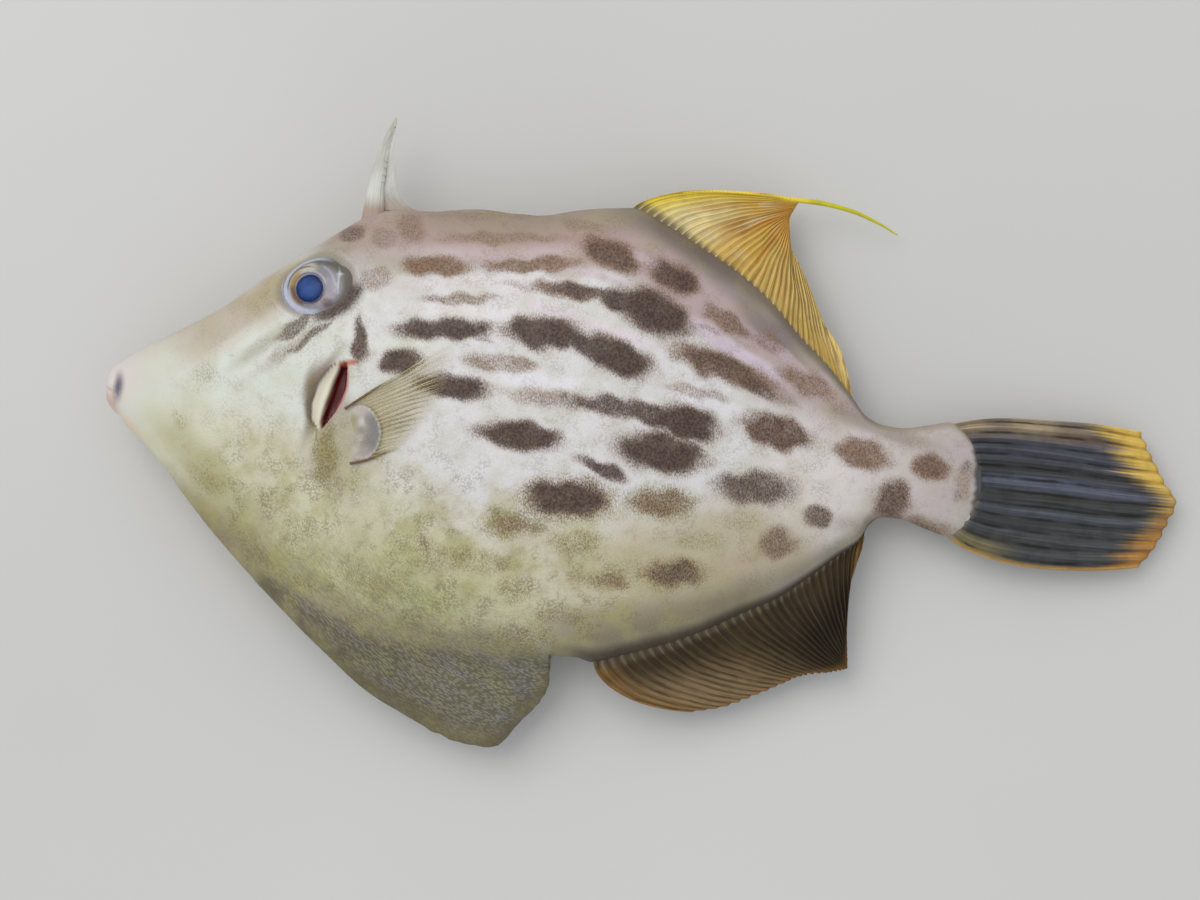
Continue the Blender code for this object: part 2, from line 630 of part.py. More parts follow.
def build_pectoral(name, side, fan, group, surface, ridge):
    """Small fan fin lying on the flank, with the fleshy lobe that carries it."""
    columns = 2 * PECTORAL_RAYS + 1
    share = np.linspace(0, 1, columns)
    turn = fan[0] + (fan[1] - fan[0]) * share
    reach = key(PECTORAL_REACH, share)
    rays = np.stack([np.cos(turn), np.sin(turn)], axis=1)
    centre = np.array(PECTORAL_ROOT)
    square = np.linspace(1.0, -1.0, columns)
    middle = (fan[0] + fan[1]) / 2
    forward = np.array([math.cos(middle), math.sin(middle)])
    across = np.array([-forward[1], forward[0]])
    rim_arc = np.sqrt(PECTORAL_LOBE_ARC - square ** 2)[:, None]
    front = centre - forward * PECTORAL_LOBE_BACK * rim_arc + across * PECTORAL_LOBE_HALF * square[:, None]
    root = centre + rays * PECTORAL_LOBE + across * PECTORAL_ROOT_HALF * square[:, None]
    tips = centre + rays * reach[:, None]
    step = np.linspace(0, 1, 8)[:, None]
    on_lobe = np.clip(step / PECTORAL_LOBE_END, 0, 1)[..., None]
    on_web = np.clip((step - PECTORAL_LOBE_END) / (1 - PECTORAL_LOBE_END), 0, 1)[..., None]
    plan = front + (root - front) * on_lobe + (tips - root) * on_web
    swell = np.clip(step / PECTORAL_SWELL_END, 0.02, 1)
    on_ray = 0.5 + 0.5 * np.cos(2 * math.pi * share * PECTORAL_RAYS)
    thick = PECTORAL_WEB + PECTORAL_LOBE_THICK * np.sin(math.pi * swell) * (1 - np.abs(square) ** 4)
    thick = thick + 2 * ridge * on_ray * on_web[..., 0] * (1 - on_web[..., 0] / 2) * swell
    if side < 0:
        thick = PRESSED_WEB + (thick - PRESSED_WEB) * PRESSED_SHARE
    base = flank_height(plan[..., 0], plan[..., 1], side) + side * PECTORAL_LIFT
    outer = base + side * thick
    upper = np.concatenate([plan, np.maximum(base, outer)[..., None]], axis=2)
    lower = np.concatenate([plan, np.minimum(base, outer)[..., None]], axis=2)
    plate(name, upper, lower, surface, group)


def build_flap(group, cutters, skin):
    """Thin blade of loose skin under the belly, with the scutes that sheathe the pelvis's tip."""
    steps = np.linspace(place(FLAP_RIBS[0]), place(FLAP_RIBS[1]), 18)
    rings = []
    for at in steps:
        row = smooth(RIB_PLACE, RIB_TABLE, at)
        depth = np.linalg.norm(row[2:4] - row[0:2])
        levels = rounded_levels(9, row[7] + GAP / depth, 1.0)
        rings.append(np.concatenate([flank(at, levels, 1), flank(at, levels[::-1], -1)]))
    flap = ring_loft("pelvic_flap", np.array(rings), skin, group)
    scutes = []
    lean, rise = math.cos(TERMINUS_LEAN), math.sin(TERMINUS_LEAN)
    axes = ((lean, rise, 0.0), (-rise, lean, 0.0), (0.0, 0.0, 1.0))
    for (x, y), size in zip(TERMINUS_PATH, TERMINUS_SIZES):
        scutes.append(ovoid("scute", frame_at((x, y, TERMINUS_HEIGHT), axes, size), 10, 6, cutters))
    combine(flap, scutes, "UNION")


def build_spine(group, cutters, surface):
    """First dorsal spine with the small membrane behind it."""
    foot = np.array(SPINE_PATH[0])
    foot[1] += GAP
    path = [tuple(foot)] + list(SPINE_PATH[1:])
    share = np.linspace(0, 1, 6)
    front, edge = along(SPINE_WEB_FRONT, share), along(SPINE_WEB_EDGE, share)
    web = np.array([front, (front + edge) / 2, edge])
    web[:, -1] = along(SPINE_WEB_FOOT, (0, 0.5, 1))
    height = np.full(web.shape[:2] + (1,), SPINE_WEB_HEIGHT)
    upper = np.concatenate([web, height + MEMBRANE_HALF], axis=2)
    lower = np.concatenate([web, height - MEMBRANE_HALF], axis=2)
    spine = plate("first_dorsal_spine", upper, lower, surface, group)
    barbs = []
    shares = np.linspace(*BARB_SHARES, BARB_COUNT)
    stations = along(path, shares)
    ahead = along(path, shares + 0.02) - stations
    radii = smooth(np.linspace(0, 1, len(SPINE_RADII)), SPINE_RADII, shares)
    shape = (BARB_HALF, BARB_HALF, BARB_LENGTH / 2)
    for foot, run, radius in zip(stations, ahead, radii):
        run = run / np.linalg.norm(run)
        for side in (1, -1):
            out = np.array([run[1], -run[0], side]) / math.sqrt(2)
            aim = (out - run) / math.sqrt(2)
            wide = np.cross(run, aim) * math.sqrt(2)
            middle = foot + out * radius * BARB_SINK + aim * BARB_LENGTH / 3
            barbs.append(cone("barb", frame_at(middle, (wide, np.cross(aim, wide), aim), shape), cutters))
    combine(spine, [tube(path, SPINE_RADII, cutters)] + barbs, "UNION")


def main():
    """Build every part of the fish."""
    clear_scene()
    parts = collection("threadsail_filefish")
    cutters = collection("cutters")
    skin = material("pale_velvet_skin", (0.62, 0.58, 0.52), 0.6)
    flap_skin = material("olive_flap_skin", (0.28, 0.26, 0.19), 0.6)
    lip_skin = material("pink_lip_skin", (0.72, 0.55, 0.52), 0.45)
    yellow_fin = material("yellow_fin", (0.60, 0.42, 0.08), 0.4)
    dark_fin = material("dark_olive_fin", (0.08, 0.055, 0.02), 0.4)
    slate_fin = material("slate_tail_fin", (0.08, 0.08, 0.085), 0.4)
    clear_fin = material("clear_fin", (0.62, 0.60, 0.50), 0.35)
    eye = material("blue_eye", (0.05, 0.08, 0.28), 0.1)

    build_head(parts, cutters, skin)
    build_eyes(parts, eye)
    build_lip("upper_lip", UPPER_LIP, lip_skin, parts)
    build_lip("lower_lip", LOWER_LIP, lip_skin, parts)
    body_segment("trunk", GILL_RIB, TAIL_RIB, 34, 20, True, (GAP / 2, -GAP / 2), skin, parts)
    body_segment("caudal_peduncle", TAIL_RIB, LAST_RIB, 12, 14, False, (GAP / 2, 0.0), skin, parts)
    build_flap(parts, cutters, flap_skin)
    build_spine(parts, cutters, clear_fin)
    build_dorsal_fin(parts, cutters, yellow_fin, RAY_RIDGE)
    build_anal_fin(parts, dark_fin, RAY_RIDGE)
    build_caudal_fin(parts, slate_fin, RAY_RIDGE)
    build_pectoral("pectoral_fin_left", 1, PECTORAL_FAN, parts, clear_fin, RAY_RIDGE)
    build_pectoral("pectoral_fin_right", -1, PECTORAL_RIGHT_FAN, parts, clear_fin, RAY_RIDGE)


main()
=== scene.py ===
"""Threadsail filefish, life size, lying at rest on its right flank on a pale floor.

The tables give design millimetres: the snout points to -X, the back to +Y and the left flank
up to +Z. Colour marks are placed on a chart, which is the plan as seen from the camera's
height, in steps of 0.168 mm counted to the right and down.
"""

import logging
import math
from dataclasses import dataclass
from enum import Enum

import bpy
import numpy as np
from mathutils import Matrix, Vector


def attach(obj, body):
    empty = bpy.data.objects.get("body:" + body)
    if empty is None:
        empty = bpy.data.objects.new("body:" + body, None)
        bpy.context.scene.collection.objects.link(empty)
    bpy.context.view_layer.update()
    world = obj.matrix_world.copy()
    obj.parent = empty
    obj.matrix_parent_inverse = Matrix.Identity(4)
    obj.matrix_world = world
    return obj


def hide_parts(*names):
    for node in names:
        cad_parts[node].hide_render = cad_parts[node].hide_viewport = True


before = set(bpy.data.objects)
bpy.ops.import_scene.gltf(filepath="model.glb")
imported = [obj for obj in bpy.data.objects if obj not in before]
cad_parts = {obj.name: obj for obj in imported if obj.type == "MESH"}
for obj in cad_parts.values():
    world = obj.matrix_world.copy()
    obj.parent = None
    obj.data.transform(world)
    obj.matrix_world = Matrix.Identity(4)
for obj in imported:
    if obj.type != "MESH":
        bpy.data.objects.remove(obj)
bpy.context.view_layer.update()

LOG = logging.getLogger("filefish")

MM = 0.001
PLAN_CENTRE = np.array([0.9, -0.3, 0.0])
EYE_HEIGHT = 348.0
CHART_STEP = 0.168
CHART_RANGE = 336.0
CHART_ORIGIN = (600.0, 450.0)
CHART_SHIFT = (42.0, 18.5)


class Side(Enum):
    """The flank that faces the camera, and the one that rests on the floor."""

    LEFT = 1
    RIGHT = -1


def paint(red: float, green: float, blue: float) -> np.ndarray:
    """A display colour of 0 to 255 as linear light."""
    share = np.array([red, green, blue]) / 255.0
    return np.where(share <= 0.04045, share / 12.92, ((share + 0.055) / 1.055) ** 2.4)


def layered(colour: np.ndarray, *layers: tuple) -> np.ndarray:
    """Lay tones over a colour, one after the other.

    Args:
        colour: One linear colour, or one for each point.
        layers: Tone of 0 to 255 and share of each layer.

    Returns:
        Colours, each step being colour + (tone - colour) x share.
    """
    for tone, share in layers:
        colour = colour + (paint(*tone) - colour) * np.clip(share, 0, 1)[..., None]
    return colour


def ease(low: float, high: float, value: np.ndarray) -> np.ndarray:
    """Rise smoothly from 0 at low to 1 at high, by 3t^2 - 2t^3.

    Args:
        low: Value where the rise starts. It may be above high, and then the rise is a fall.
        high: Value where it ends.
        value: Values to read.

    Returns:
        Shares from 0 to 1.
    """
    share = np.clip((np.asarray(value, float) - low) / (high - low), 0, 1)
    return share * share * (3 - 2 * share)


def hump(value: np.ndarray, middle: float, reach: float) -> np.ndarray:
    """A bell of height 1, exp(-((value - middle) / reach)^2)."""
    return np.exp(-(((value - middle) / reach) ** 2))


def window(span: tuple, value: np.ndarray) -> np.ndarray:
    """Rise from 0 to 1 over the span's first two values and fall back over its last two."""
    return ease(span[0], span[1], value) * ease(span[3], span[2], value)


def smooth(knots: np.ndarray, values: np.ndarray, at: np.ndarray) -> np.ndarray:
    """Read values between knots by a cubic that never overshoots them.

    Args:
        knots: Rising places of the knots.
        values: One row of values for each knot.
        at: Places to read.

    Returns:
        Values at those places, by the cubic Hermite formula with harmonic mean slopes.
    """
    knots, values, at = (np.asarray(a, float) for a in (knots, values, at))
    step = np.diff(knots)
    slope = np.diff(values, axis=0) / step.reshape((-1,) + (1,) * (values.ndim - 1))
    product = slope[1:] * slope[:-1]
    inner = np.where(product > 0, 2 * product / (slope[1:] + slope[:-1] + 1e-12), 0)
    tangent = np.concatenate([slope[:1], inner, slope[-1:]])
    i = np.clip(np.searchsorted(knots, at, side="right") - 1, 0, len(step) - 1)
    u = (at - knots[i]) / step[i]
    h = step[i]
    if values.ndim > 1:
        u, h = u[..., None], h[..., None]
    return ((1 + 2 * u) * (1 - u) ** 2 * values[i] + u * (1 - u) ** 2 * h * tangent[i]
            + u * u * (3 - 2 * u) * values[i + 1] + u * u * (u - 1) * h * tangent[i + 1])


def along(points: np.ndarray, at: np.ndarray) -> np.ndarray:
    """Read a smooth path through the points at shares of its length.

    Args:
        points: Corner points of the path.
        at: Shares from 0 to 1.

    Returns:
        One point for each share.
    """
    points = np.asarray(points, float)
    run = np.concatenate([[0], np.cumsum(np.linalg.norm(np.diff(points, axis=0), axis=1))])
    return smooth(run / run[-1], points, at)


def key(pairs: tuple, at: np.ndarray) -> np.ndarray:
    """Read a curve given as pairs of place and value.

    Args:
        pairs: Place and value of each knot.
        at: Places to read.

    Returns:
        Values at those places.
    """
    pairs = np.asarray(pairs, float)
    return smooth(pairs[:, 0], pairs[:, 1], at)


def unit(vectors: np.ndarray) -> np.ndarray:
    """Vectors at length 1 along their last axis."""
    return vectors / np.maximum(np.linalg.norm(vectors, axis=-1, keepdims=True), 1e-12)


def square(ways: np.ndarray) -> np.ndarray:
    """Plan directions turned a quarter to the left."""
    return np.stack([-ways[:, 1], ways[:, 0]], axis=1)


def waves(x: np.ndarray, y: np.ndarray, reach: float, seed: int) -> np.ndarray:
    """Slow even disorder, a sum of seven plane sine waves with seeded headings.

    Args:
        x: First coordinate.
        y: Second coordinate.
        reach: Middle wavelength in the same units.
        seed: Seed of the headings, lengths and phases.

    Returns:
        Values of about -1 to 1.
    """
    draw = np.random.default_rng(seed)
    total = np.zeros(np.broadcast(x, y).shape)
    for heading, stretch, phase in draw.uniform(0, 1, (7, 3)):
        turn = 2 * math.pi * heading
        wave = reach * (0.6 + stretch)
        total += np.sin((x * math.cos(turn) + y * math.sin(turn)) * 2 * math.pi / wave + 6.3 * phase)
    return total / math.sqrt(7)


def chart(points: np.ndarray) -> tuple[np.ndarray, np.ndarray]:
    """Place of design points on the chart.

    Args:
        points: Design points in millimetres.

    Returns:
        Steps to the right and steps down, with the step widened by nearness to the camera.
    """
    near = (EYE_HEIGHT - points[..., 2]) / CHART_RANGE
    right = CHART_ORIGIN[0] + (points[..., 0] / CHART_STEP + CHART_SHIFT[0]) / near
    down = CHART_ORIGIN[1] - (points[..., 1] / CHART_STEP + CHART_SHIFT[1]) / near
    return right, down


def oval(right: np.ndarray, down: np.ndarray, spot: tuple) -> np.ndarray:
    """Distance from an oval's middle on the chart, 1 on its edge.

    Args:
        right: Chart steps to the right.
        down: Chart steps down.
        spot: Middle right, middle down, half length, half width and tilt down to the right.

    Returns:
        The length of the offset after it is turned by the tilt and divided by the half sizes.
    """
    middle_right, middle_down, long, wide, tilt = spot
    turn = math.radians(tilt)
    x, y = right - middle_right, down - middle_down
    return np.hypot((x * math.cos(turn) + y * math.sin(turn)) / long,
                    (y * math.cos(turn) - x * math.sin(turn)) / wide)


def grid_faces(rows: int, columns: int, wrap: bool = False, start: int = 0) -> np.ndarray:
    """Quads between the neighbours of a grid of points.

    Args:
        rows: Number of rows of points.
        columns: Number of points in a row.
        wrap: Whether the last column joins the first.
        start: Index of the grid's first point.

    Returns:
        Point indices, one row of four for each quad.
    """
    i, j = np.meshgrid(np.arange(rows - 1), np.arange(columns if wrap else columns - 1), indexing="ij")
    i, j = i.ravel(), j.ravel()
    k = (j + 1) % columns
    corners = [i * columns + j, i * columns + k, (i + 1) * columns + k, (i + 1) * columns + j]
    return start + np.stack(corners, 1)


def closed_tube(rings: np.ndarray) -> tuple[np.ndarray, list[np.ndarray]]:
    """Close a stack of rings with a pole at each end.

    Args:
        rings: Ring points in order along the tube.

    Returns:
        Points with the two poles added last, and the quads and end triangles.
    """
    count, size = rings.shape[:2]
    points = np.concatenate([rings.reshape(-1, 3), [rings[0].mean(0)], [rings[-1].mean(0)]])
    j = np.arange(size)
    k = (j + 1) % size
    last = (count - 1) * size
    first_cap = np.stack([k, j, np.full(size, count * size)], 1)
    last_cap = np.stack([last + j, last + k, np.full(size, count * size + 1)], 1)
    return points, [grid_faces(count, size, True), first_cap, last_cap]


def full_turn(count: int) -> np.ndarray:
    """Even angles of a full turn, without its end."""
    return np.linspace(0, 2 * math.pi, count, endpoint=False)


def capped(values: np.ndarray) -> np.ndarray:
    """Values of a closed tube's points in order, with those of its two end points."""
    return np.concatenate([values, values[:1], values[-1:]])


def swept_tube(path: np.ndarray, radius: np.ndarray, sides: int) -> tuple[np.ndarray, list[np.ndarray]]:
    """Sweep a round tube along a path.

    Args:
        path: Middle points.
        radius: Radius at each.
        sides: Points in a ring.

    Returns:
        Points and faces: middle + radius x (across x cosine + up x sine) round each point.
    """
    turn = full_turn(sides)[:, None]
    ahead = unit(np.gradient(path, axis=0))
    across = unit(np.cross(ahead, np.array([0.0, 0.0, 1.0])))
    spokes = across[:, None] * np.cos(turn) + np.cross(across, ahead)[:, None] * np.sin(turn)
    return closed_tube(path[:, None] + spokes * radius[:, None, None])


def ovoid(centre: np.ndarray, ways: tuple, radii: tuple, polar: np.ndarray, turn: np.ndarray) -> np.ndarray:
    """Points of an ovoid by their two angles.

    Args:
        centre: Its middle.
        ways: Directions along, across and out.
        radii: Radius along each.
        polar: Angles from outwards.
        turn: Angles about the outward way.

    Returns:
        Centre + along x sine x cosine + across x sine x sine + out x cosine, times the radii.
    """
    offsets = (radii[0] * np.sin(polar) * np.cos(turn), radii[1] * np.sin(polar) * np.sin(turn),
               radii[2] * np.cos(polar) * np.ones_like(turn))
    points = centre
    for way, offset in zip(ways, offsets):
        points = points + way * offset[..., None]
    return points


def closed_plate(upper: np.ndarray, lower: np.ndarray) -> tuple[np.ndarray, list[np.ndarray]]:
    """Close two like grids into a thin plate.

    Args:
        upper: Grid of the upper face.
        lower: Grid of the lower face.

    Returns:
        Points of both grids, and the quads of both faces and of the rim between them.
    """
    rows, columns = upper.shape[:2]
    total = rows * columns
    faces = grid_faces(rows, columns)
    index = np.arange(total).reshape(rows, columns)
    rim = np.concatenate([index[0], index[1:, -1], index[-1, -2::-1], index[-2:0:-1, 0]])
    ahead = np.roll(rim, -1)
    side = np.stack([rim, rim + total, ahead + total, ahead], 1)
    return np.concatenate([upper.reshape(-1, 3), lower.reshape(-1, 3)]), [faces, faces[:, ::-1] + total, side]


def turned_out(points: np.ndarray, faces: list[np.ndarray]) -> list[np.ndarray]:
    """Turn the faces of a closed surface outwards.

    Args:
        points: Points of the surface.
        faces: Arrays of quads or triangles that already agree with each other.

    Returns:
        The same faces, reversed where the volume they enclose comes out below zero.
    """
    volume = 0.0
    centred = points - points.mean(0)
    for part in faces:
        for corner in range(1, part.shape[1] - 1):
            a, b, c = centred[part[:, 0]], centred[part[:, corner]], centred[part[:, corner + 1]]
            volume += np.einsum("ij,ij->", a, np.cross(b, c))
    return faces if volume > 0 else [part[:, ::-1] for part in faces]


@dataclass(frozen=True)
class Piece:
    """How one finished piece is named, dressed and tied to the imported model."""

    name: str
    slot: str
    nodes: tuple[str, ...] = ()


def make_piece(piece: Piece, points: np.ndarray, faces: list[np.ndarray], material: bpy.types.Material,
               fields: dict[str, np.ndarray], sheet: np.ndarray | None = None) -> bpy.types.Object:
    """Make a closed mesh object from design points and hand it to the frame.

    Args:
        piece: Name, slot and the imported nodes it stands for.
        points: Design points in millimetres.
        faces: Arrays of quads or triangles.
        material: The finish.
        fields: Attributes of the points, one number or one colour for each.
        sheet: Place of each point on the piece's own map, or None.

    Returns:
        The object.
    """
    faces = turned_out(points, faces)
    mesh = bpy.data.meshes.new(piece.name)
    places = (points - PLAN_CENTRE) * MM
    mesh.from_pydata(places.tolist(), [], [face for part in faces for face in part.tolist()])
    for name, values in fields.items():
        if values.ndim == 1:
            mesh.attributes.new(name, "FLOAT", "POINT").data.foreach_set("value", values.astype(np.float32))
        else:
            full = np.concatenate([values, np.ones((len(values), 1))], 1).astype(np.float32)
            mesh.attributes.new(name, "FLOAT_COLOR", "POINT").data.foreach_set("color", full.ravel())
    if sheet is not None:
        corners = np.empty(len(mesh.loops), np.int32)
        mesh.loops.foreach_get("vertex_index", corners)
        mesh.uv_layers.new(name="Sheet").data.foreach_set("uv", sheet[corners].astype(np.float32).ravel())
    mesh.shade_smooth()
    mesh.update()
    mesh.materials.append(material)
    item = bpy.data.objects.new(piece.name, mesh)
    bpy.context.scene.collection.objects.link(item)
    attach(item, "root")
    if piece.nodes:
        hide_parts(*piece.nodes)
    LOG.info("%s: %d points, stands for %s", piece.name, len(points), ", ".join(piece.nodes) or "no node")
    return item


class Board:
    """Adds nodes to one node tree and links them."""

    def __init__(self, tree: bpy.types.NodeTree) -> None:
        """Keep the tree to work on."""
        self.tree = tree

    def feed(self, socket: bpy.types.NodeSocket, value: object) -> None:
        """Link a socket to another, or set its constant.

        Args:
            socket: Input socket.
            value: Output socket, number, or sequence of numbers.
        """
        if isinstance(value, bpy.types.NodeSocket):
            self.tree.links.new(value, socket)
        elif isinstance(value, (tuple, list, np.ndarray)) and socket.type == "RGBA":
            socket.default_value = (*value[:3], 1.0)
        elif isinstance(value, (tuple, list, np.ndarray)):
            socket.default_value = tuple(value)
        else:
            socket.default_value = value

    def add(self, kind: str, inputs: dict) -> bpy.types.Node:
        """Add a node and feed its inputs.

        Args:
            kind: Node type.
            inputs: Input names or numbers, with what feeds them.

        Returns:
            The node.
        """
        node = self.tree.nodes.new(kind)
        for name, value in inputs.items():
            self.feed(node.inputs[name], value)
        return node

    def math(self, operation: str, first: object, second: object = 0.0) -> bpy.types.NodeSocket:
        """The result of a Math node.

        Args:
            operation: What the node does.
            first: First value or socket.
            second: Second value or socket.

        Returns:
            The result socket.
        """
        node = self.tree.nodes.new("ShaderNodeMath")
        node.operation = operation
        self.feed(node.inputs[0], first)
        self.feed(node.inputs[1], second)
        return node.outputs[0]

    def times(self, first: object, second: object) -> bpy.types.NodeSocket:
        """The product of two values."""
        return self.math("MULTIPLY", first, second)

    def plus(self, first: object, second: object) -> bpy.types.NodeSocket:
        """The sum of two values."""
        return self.math("ADD", first, second)

    def less(self, first: object, second: object) -> bpy.types.NodeSocket:
        """The first value less the second."""
        return self.math("SUBTRACT", first, second)

    def mix(self, share: object, first: object, second: object, blend: str = "MIX") -> bpy.types.NodeSocket:
        """The colour between two colours at a share.

        Args:
            share: Share of the second colour.
            first: First colour or socket.
            second: Second colour or socket.
            blend: How the second is laid on.

        Returns:
            The colour socket.
        """
        node = self.tree.nodes.new("ShaderNodeMix")
        node.data_type = "RGBA"
        node.blend_type = blend
        for number, value in zip((0, 6, 7), (share, first, second)):
            self.feed(node.inputs[number], value)
        return node.outputs[2]

    def span(self, value: object, low: float, high: float, to_low: float = 0.0,
             to_high: float = 1.0) -> bpy.types.NodeSocket:
        """The value moved from one range to another by a smooth step.

        Args:
            value: Socket to read.
            low: Value that gives to_low.
            high: Value that gives to_high.
            to_low: First end of the result.
            to_high: Other end of the result.

        Returns:
            The result socket.
        """
        node = self.tree.nodes.new("ShaderNodeMapRange")
        node.interpolation_type = "SMOOTHSTEP"
        for name, number in zip(("Value", "From Min", "From Max", "To Min", "To Max"),
                                (value, low, high, to_low, to_high)):
            self.feed(node.inputs[name], number)
        return node.outputs[0]

    def noise(self, place: object, scale: object, detail: float = 2.0) -> bpy.types.NodeSocket:
        """The value of a noise texture at a place."""
        return self.add("ShaderNodeTexNoise", {"Vector": place, "Scale": scale, "Detail": detail}).outputs[0]

    def cells(self, place: object, scale: object) -> bpy.types.NodeSocket:
        """The distance to the nearest of many scattered cell middles."""
        return self.add("ShaderNodeTexVoronoi", {"Vector": place, "Scale": scale}).outputs["Distance"]

    def drawn_out(self, place: object, turn: float, stretch: float) -> bpy.types.NodeSocket:
        """A place stretched along a heading in plan, for a grain that runs that way.

        Args:
            place: Place socket.
            turn: Heading in degrees.
            stretch: How many times longer.

        Returns:
            The stretched place.
        """
        node = self.add("ShaderNodeMapping", {"Vector": place})
        node.vector_type = "TEXTURE"
        node.inputs["Rotation"].default_value = (0.0, 0.0, math.radians(turn))
        node.inputs["Scale"].default_value = (stretch, 1.0, 1.0)
        return node.outputs[0]

    def place(self) -> bpy.types.NodeSocket:
        """The Object coordinates."""
        return self.tree.nodes.new("ShaderNodeTexCoord").outputs["Object"]

    def sheet(self) -> bpy.types.NodeSocket:
        """The place on the piece's own map.

        Returns:
            The place socket.
        """
        node = self.tree.nodes.new("ShaderNodeUVMap")
        node.uv_map = "Sheet"
        return node.outputs[0]

    def field(self, name: str, colour: bool = False) -> bpy.types.NodeSocket:
        """An attribute of the mesh, as a number or a colour.

        Args:
            name: Name of the attribute.
            colour: Whether it is a colour.

        Returns:
            The value or colour socket.
        """
        node = self.tree.nodes.new("ShaderNodeAttribute")
        node.attribute_name = name
        return node.outputs["Color"] if colour else node.outputs["Fac"]

    def group(self, tree: bpy.types.NodeTree, inputs: dict) -> bpy.types.Node:
        """Place a shared group and feed its inputs.

        Args:
            tree: The group.
            inputs: Input names with what feeds them.

        Returns:
            The group node.
        """
        node = self.tree.nodes.new("ShaderNodeGroup")
        node.node_tree = tree
        for name, value in inputs.items():
            self.feed(node.inputs[name], value)
        return node

    def bump(self, height: object, strength: float, depth: float) -> bpy.types.NodeSocket:
        """A normal from a height, with its depth in metres."""
        return self.add("ShaderNodeBump",
                        {"Height": height, "Strength": strength, "Distance": depth}).outputs[0]


def new_group(name: str, inputs: dict[str, str], outputs: dict[str, str]) -> tuple[bpy.types.NodeTree, Board,
                                                                                  dict, bpy.types.Node]:
    """Start a shader node group with named sockets.

    Args:
        name: Name of the group.
        inputs: Socket name and type of each input.
        outputs: Socket name and type of each output.

    Returns:
        The tree, a board on it, its input sockets by name, and its output node.
    """
    tree = bpy.data.node_groups.new(name, "ShaderNodeTree")
    for label, kind in inputs.items():
        tree.interface.new_socket(name=label, in_out="INPUT", socket_type=kind)
    for label, kind in outputs.items():
        tree.interface.new_socket(name=label, in_out="OUTPUT", socket_type=kind)
    source = tree.nodes.new("NodeGroupInput")
    target = tree.nodes.new("NodeGroupOutput")
    return tree, Board(tree), {label: source.outputs[label] for label in inputs}, target


VALUE = "NodeSocketFloat"
VECTOR = "NodeSocketVector"


class Effects:
    """The shared shader effects, each built once."""

    def __init__(self) -> None:
        """Build every group."""
        self.grain = self.build_grain()
        self.speckle = self.build_speckle()
        self.mottle = self.build_mottle()
        self.rays = self.build_rays()

    def build_grain(self) -> bpy.types.NodeTree:
        """Velvet grain: small rounded granules, with a height and a dark fleck between them.

        Returns:
            The group. Height is 1 less the distance to the nearest granule's middle, and
            Fleck rises in the grooves between granules and is broken by a finer noise.
        """
        tree, board, given, target = new_group(
            "velvet_grain", {"Place": VECTOR, "Scale": VALUE}, {"Height": VALUE, "Fleck": VALUE})
        distance = board.cells(given["Place"], given["Scale"])
        fine = board.noise(given["Place"], board.times(given["Scale"], 1.7), 1.0)
        height = board.less(1.0, distance)
        fleck = board.span(board.plus(distance, board.times(fine, 0.5)), 0.62, 0.92)
        board.feed(target.inputs["Height"], board.plus(height, board.times(fine, 0.35)))
        board.feed(target.inputs["Fleck"], fleck)
        return tree

    def build_speckle(self) -> bpy.types.NodeTree:
        """Broken edge of a mark: the opacity is pushed up and down by grain where it is half way.

        Returns:
            The group. Mask is the smooth step of opacity + (grain - 0.5) x 4 x opacity x
            (1 - opacity) x Break.
        """
        tree, board, given, target = new_group(
            "mark_speckle", {"Opacity": VALUE, "Grain": VALUE, "Break": VALUE}, {"Mask": VALUE})
        rest = board.less(1.0, given["Opacity"])
        edge = board.times(board.times(given["Opacity"], rest), 4.0)
        push = board.times(board.less(given["Grain"], 0.5), given["Break"])
        mask = board.plus(given["Opacity"], board.times(edge, push))
        board.feed(target.inputs["Mask"], board.span(mask, 0.0, 1.0))
        return tree

    def build_mottle(self) -> bpy.types.NodeTree:
        """Cloudy colour change: a slow noise with finer octaves, sharpened a little.

        Returns:
            The group. Mask is the smooth step of the noise, times Amount.
        """
        tree, board, given, target = new_group(
            "cloud_mottle", {"Place": VECTOR, "Scale": VALUE, "Amount": VALUE}, {"Mask": VALUE})
        slow = board.noise(given["Place"], given["Scale"], 5.0)
        mask = board.times(board.span(slow, 0.42, 0.68), given["Amount"])
        board.feed(target.inputs["Mask"], mask)
        return tree

    def build_rays(self) -> bpy.types.NodeTree:
        """Lines of a fin, from a sheet whose X counts rays and whose Y runs from root to margin.

        Returns:
            The group. Ray is a thin line at each branch: the distance from the ray's middle,
            less the first fork's spread, less the second's, both taken without sign. Crease
            rises half way between rays. Hair is a noise drawn out along the rays.
        """
        tree, board, given, target = new_group(
            "fin_rays", {"Sheet": VECTOR, "Place": VECTOR, "Wander": VALUE, "Crease start": VALUE,
                         "Strands": VALUE}, {"Ray": VALUE, "Crease": VALUE, "Hair": VALUE})
        split = board.add("ShaderNodeSeparateXYZ", {0: given["Sheet"]})
        across, outwards = split.outputs[0], split.outputs[1]
        drift = board.less(board.noise(given["Place"], 300.0, 2.0), 0.5)
        wander = board.times(drift, given["Wander"])
        phase = board.math("PINGPONG", board.plus(across, wander), 0.5)
        off = board.math("ABSOLUTE", board.less(phase, board.span(outwards, 0.2, 1.0, 0.0, 0.22)))
        off = board.math("ABSOLUTE", board.less(off, board.span(outwards, 0.5, 1.0, 0.0, 0.1)))
        board.feed(target.inputs["Ray"], board.span(off, 0.02, 0.11, 1.0, 0.0))
        board.feed(target.inputs["Crease"], board.span(phase, given["Crease start"], 0.48))
        fine = board.add("ShaderNodeCombineXYZ", {0: board.times(across, given["Strands"]),
                                                  1: board.times(outwards, 2.0)})
        board.feed(target.inputs["Hair"], board.span(board.noise(fine.outputs[0], 1.0, 3.0), 0.42, 0.66))
        return tree


